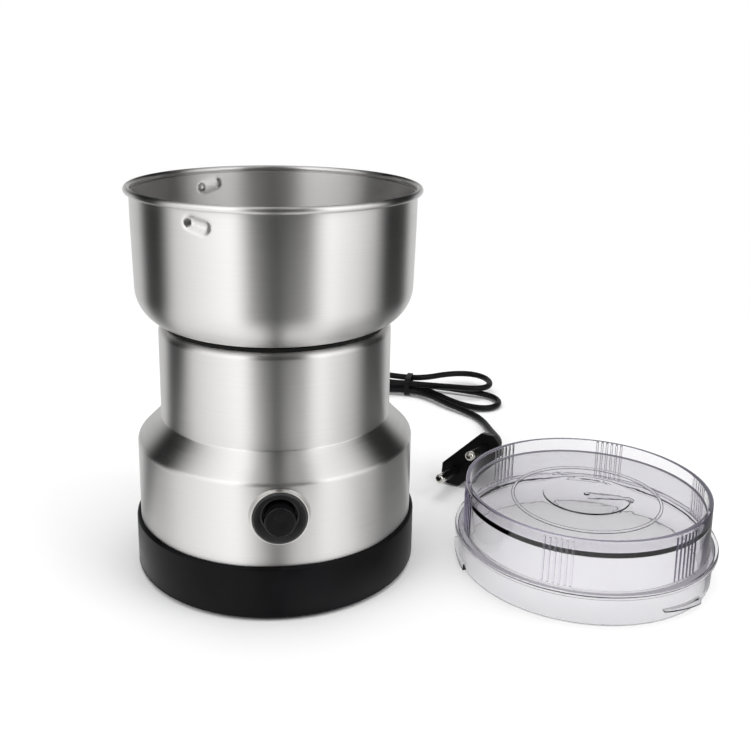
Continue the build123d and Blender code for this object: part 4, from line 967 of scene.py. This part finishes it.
# %% Hang the tent
tent_columns, through_lid, table_level = 240, 0.8, 0.0004
cloth, tree = begin("tent_cloth")[:2]
ray = add(tree, "ShaderNodeLightPath").outputs
through = add(tree, "ShaderNodeMapRange", {"Value": ray["Is Transmission Ray"], "To Min": 1.0, "To Max": through_lid})
shade = add(tree, "ShaderNodeAttribute", attribute_name="glow").outputs["Fac"]
strength = add(tree, "ShaderNodeMath", {0: shade, 1: through}, operation="MULTIPLY")
add(tree, "ShaderNodeOutputMaterial", {"Surface": add(tree, "ShaderNodeEmission", {"Strength": strength})})


def tent_part(name, outline, *unseen):
    """A ring of tent cloth from (reach, height, rise, climb), in metres, that some rays don't see."""
    spots, glow = [], []
    for k in range(tent_columns):
        bearing = 360 * k / tent_columns - 180
        angle = math.radians(bearing)
        for across, along, rise, climb in outline:
            spots.append((across * math.sin(angle), -across * math.cos(angle), along))
            glow.append(tent_light(bearing, rise, climb))
    rows = len(outline)
    pairs = [
        (k * rows + i, (k + 1) % tent_columns * rows + i) for k in range(tent_columns) for i in range(rows - 1)
    ]
    mesh = bpy.data.meshes.new(name)
    mesh.from_pydata(spots, [], [(a, b, b + 1, a + 1) for a, b in pairs])
    mesh.attributes.new("glow", "FLOAT", "POINT").data.foreach_set("value", glow)
    mesh.materials.append(cloth)
    part = placed(name, mesh)
    for ray_kind in ("camera", "diffuse", "shadow", "volume_scatter", *unseen):
        setattr(part, "visible_" + ray_kind, False)
    print(name, "faces", len(mesh.polygons))


table_rows = ((0.056, 0), (0.13, 0.1), (0.25, 0.6), (0.48, 1), (0.8, 1))
tent_part("tent_table", [(reach, table_level, rise, 0) for reach, rise in table_rows], "transmission")
tent_part("tent_walls", [
    (0.8, 0, 1, 0), (0.8, 0.15, 1, 0), (0.8, 0.45, 1, 1), (0.7, 0.75, 1, 1), (0.4, 1.05, 0.4, 0), (0.1, 1.15, 0.3, 0),
    (0.0, 1.15, 0.3, 0),
])

# %% [markdown]
# ## Lamps
# Two large soft lamps stand left and right of the lens and one hangs above. They light the floor and the dark pieces
# evenly and leave a soft shadow at the foot. Reflections see the tent instead of them.

# %% Hang the lamps
lamps_aim = Vector((0.05, 0, 0.06))
for name, spot, width, power in (
    ("left_softbox", (-0.75, -0.55, 0.75), 0.7, 4.3),
    ("right_softbox", (0.80, -0.50, 0.75), 0.7, 3.9),
    ("top_softbox", (0.05, 0.10, 1.10), 0.9, 5.6),
):
    lamp = bpy.data.lights.new(name, "AREA")
    lamp.size = width
    lamp.energy = power
    box = placed(name, lamp)
    aim = lamps_aim - Vector(spot)
    box.matrix_world = Matrix.Translation(spot) @ aim.to_track_quat("-Z", "Y").to_matrix().to_4x4()
    box.visible_glossy = False
    box.visible_transmission = False
    print(name, power, "W")

# %% [markdown]
# ## Finish
# Colours are shown as they are written, so the view transform is Standard.

# %% Finish
scene.view_settings.view_transform = "Standard"
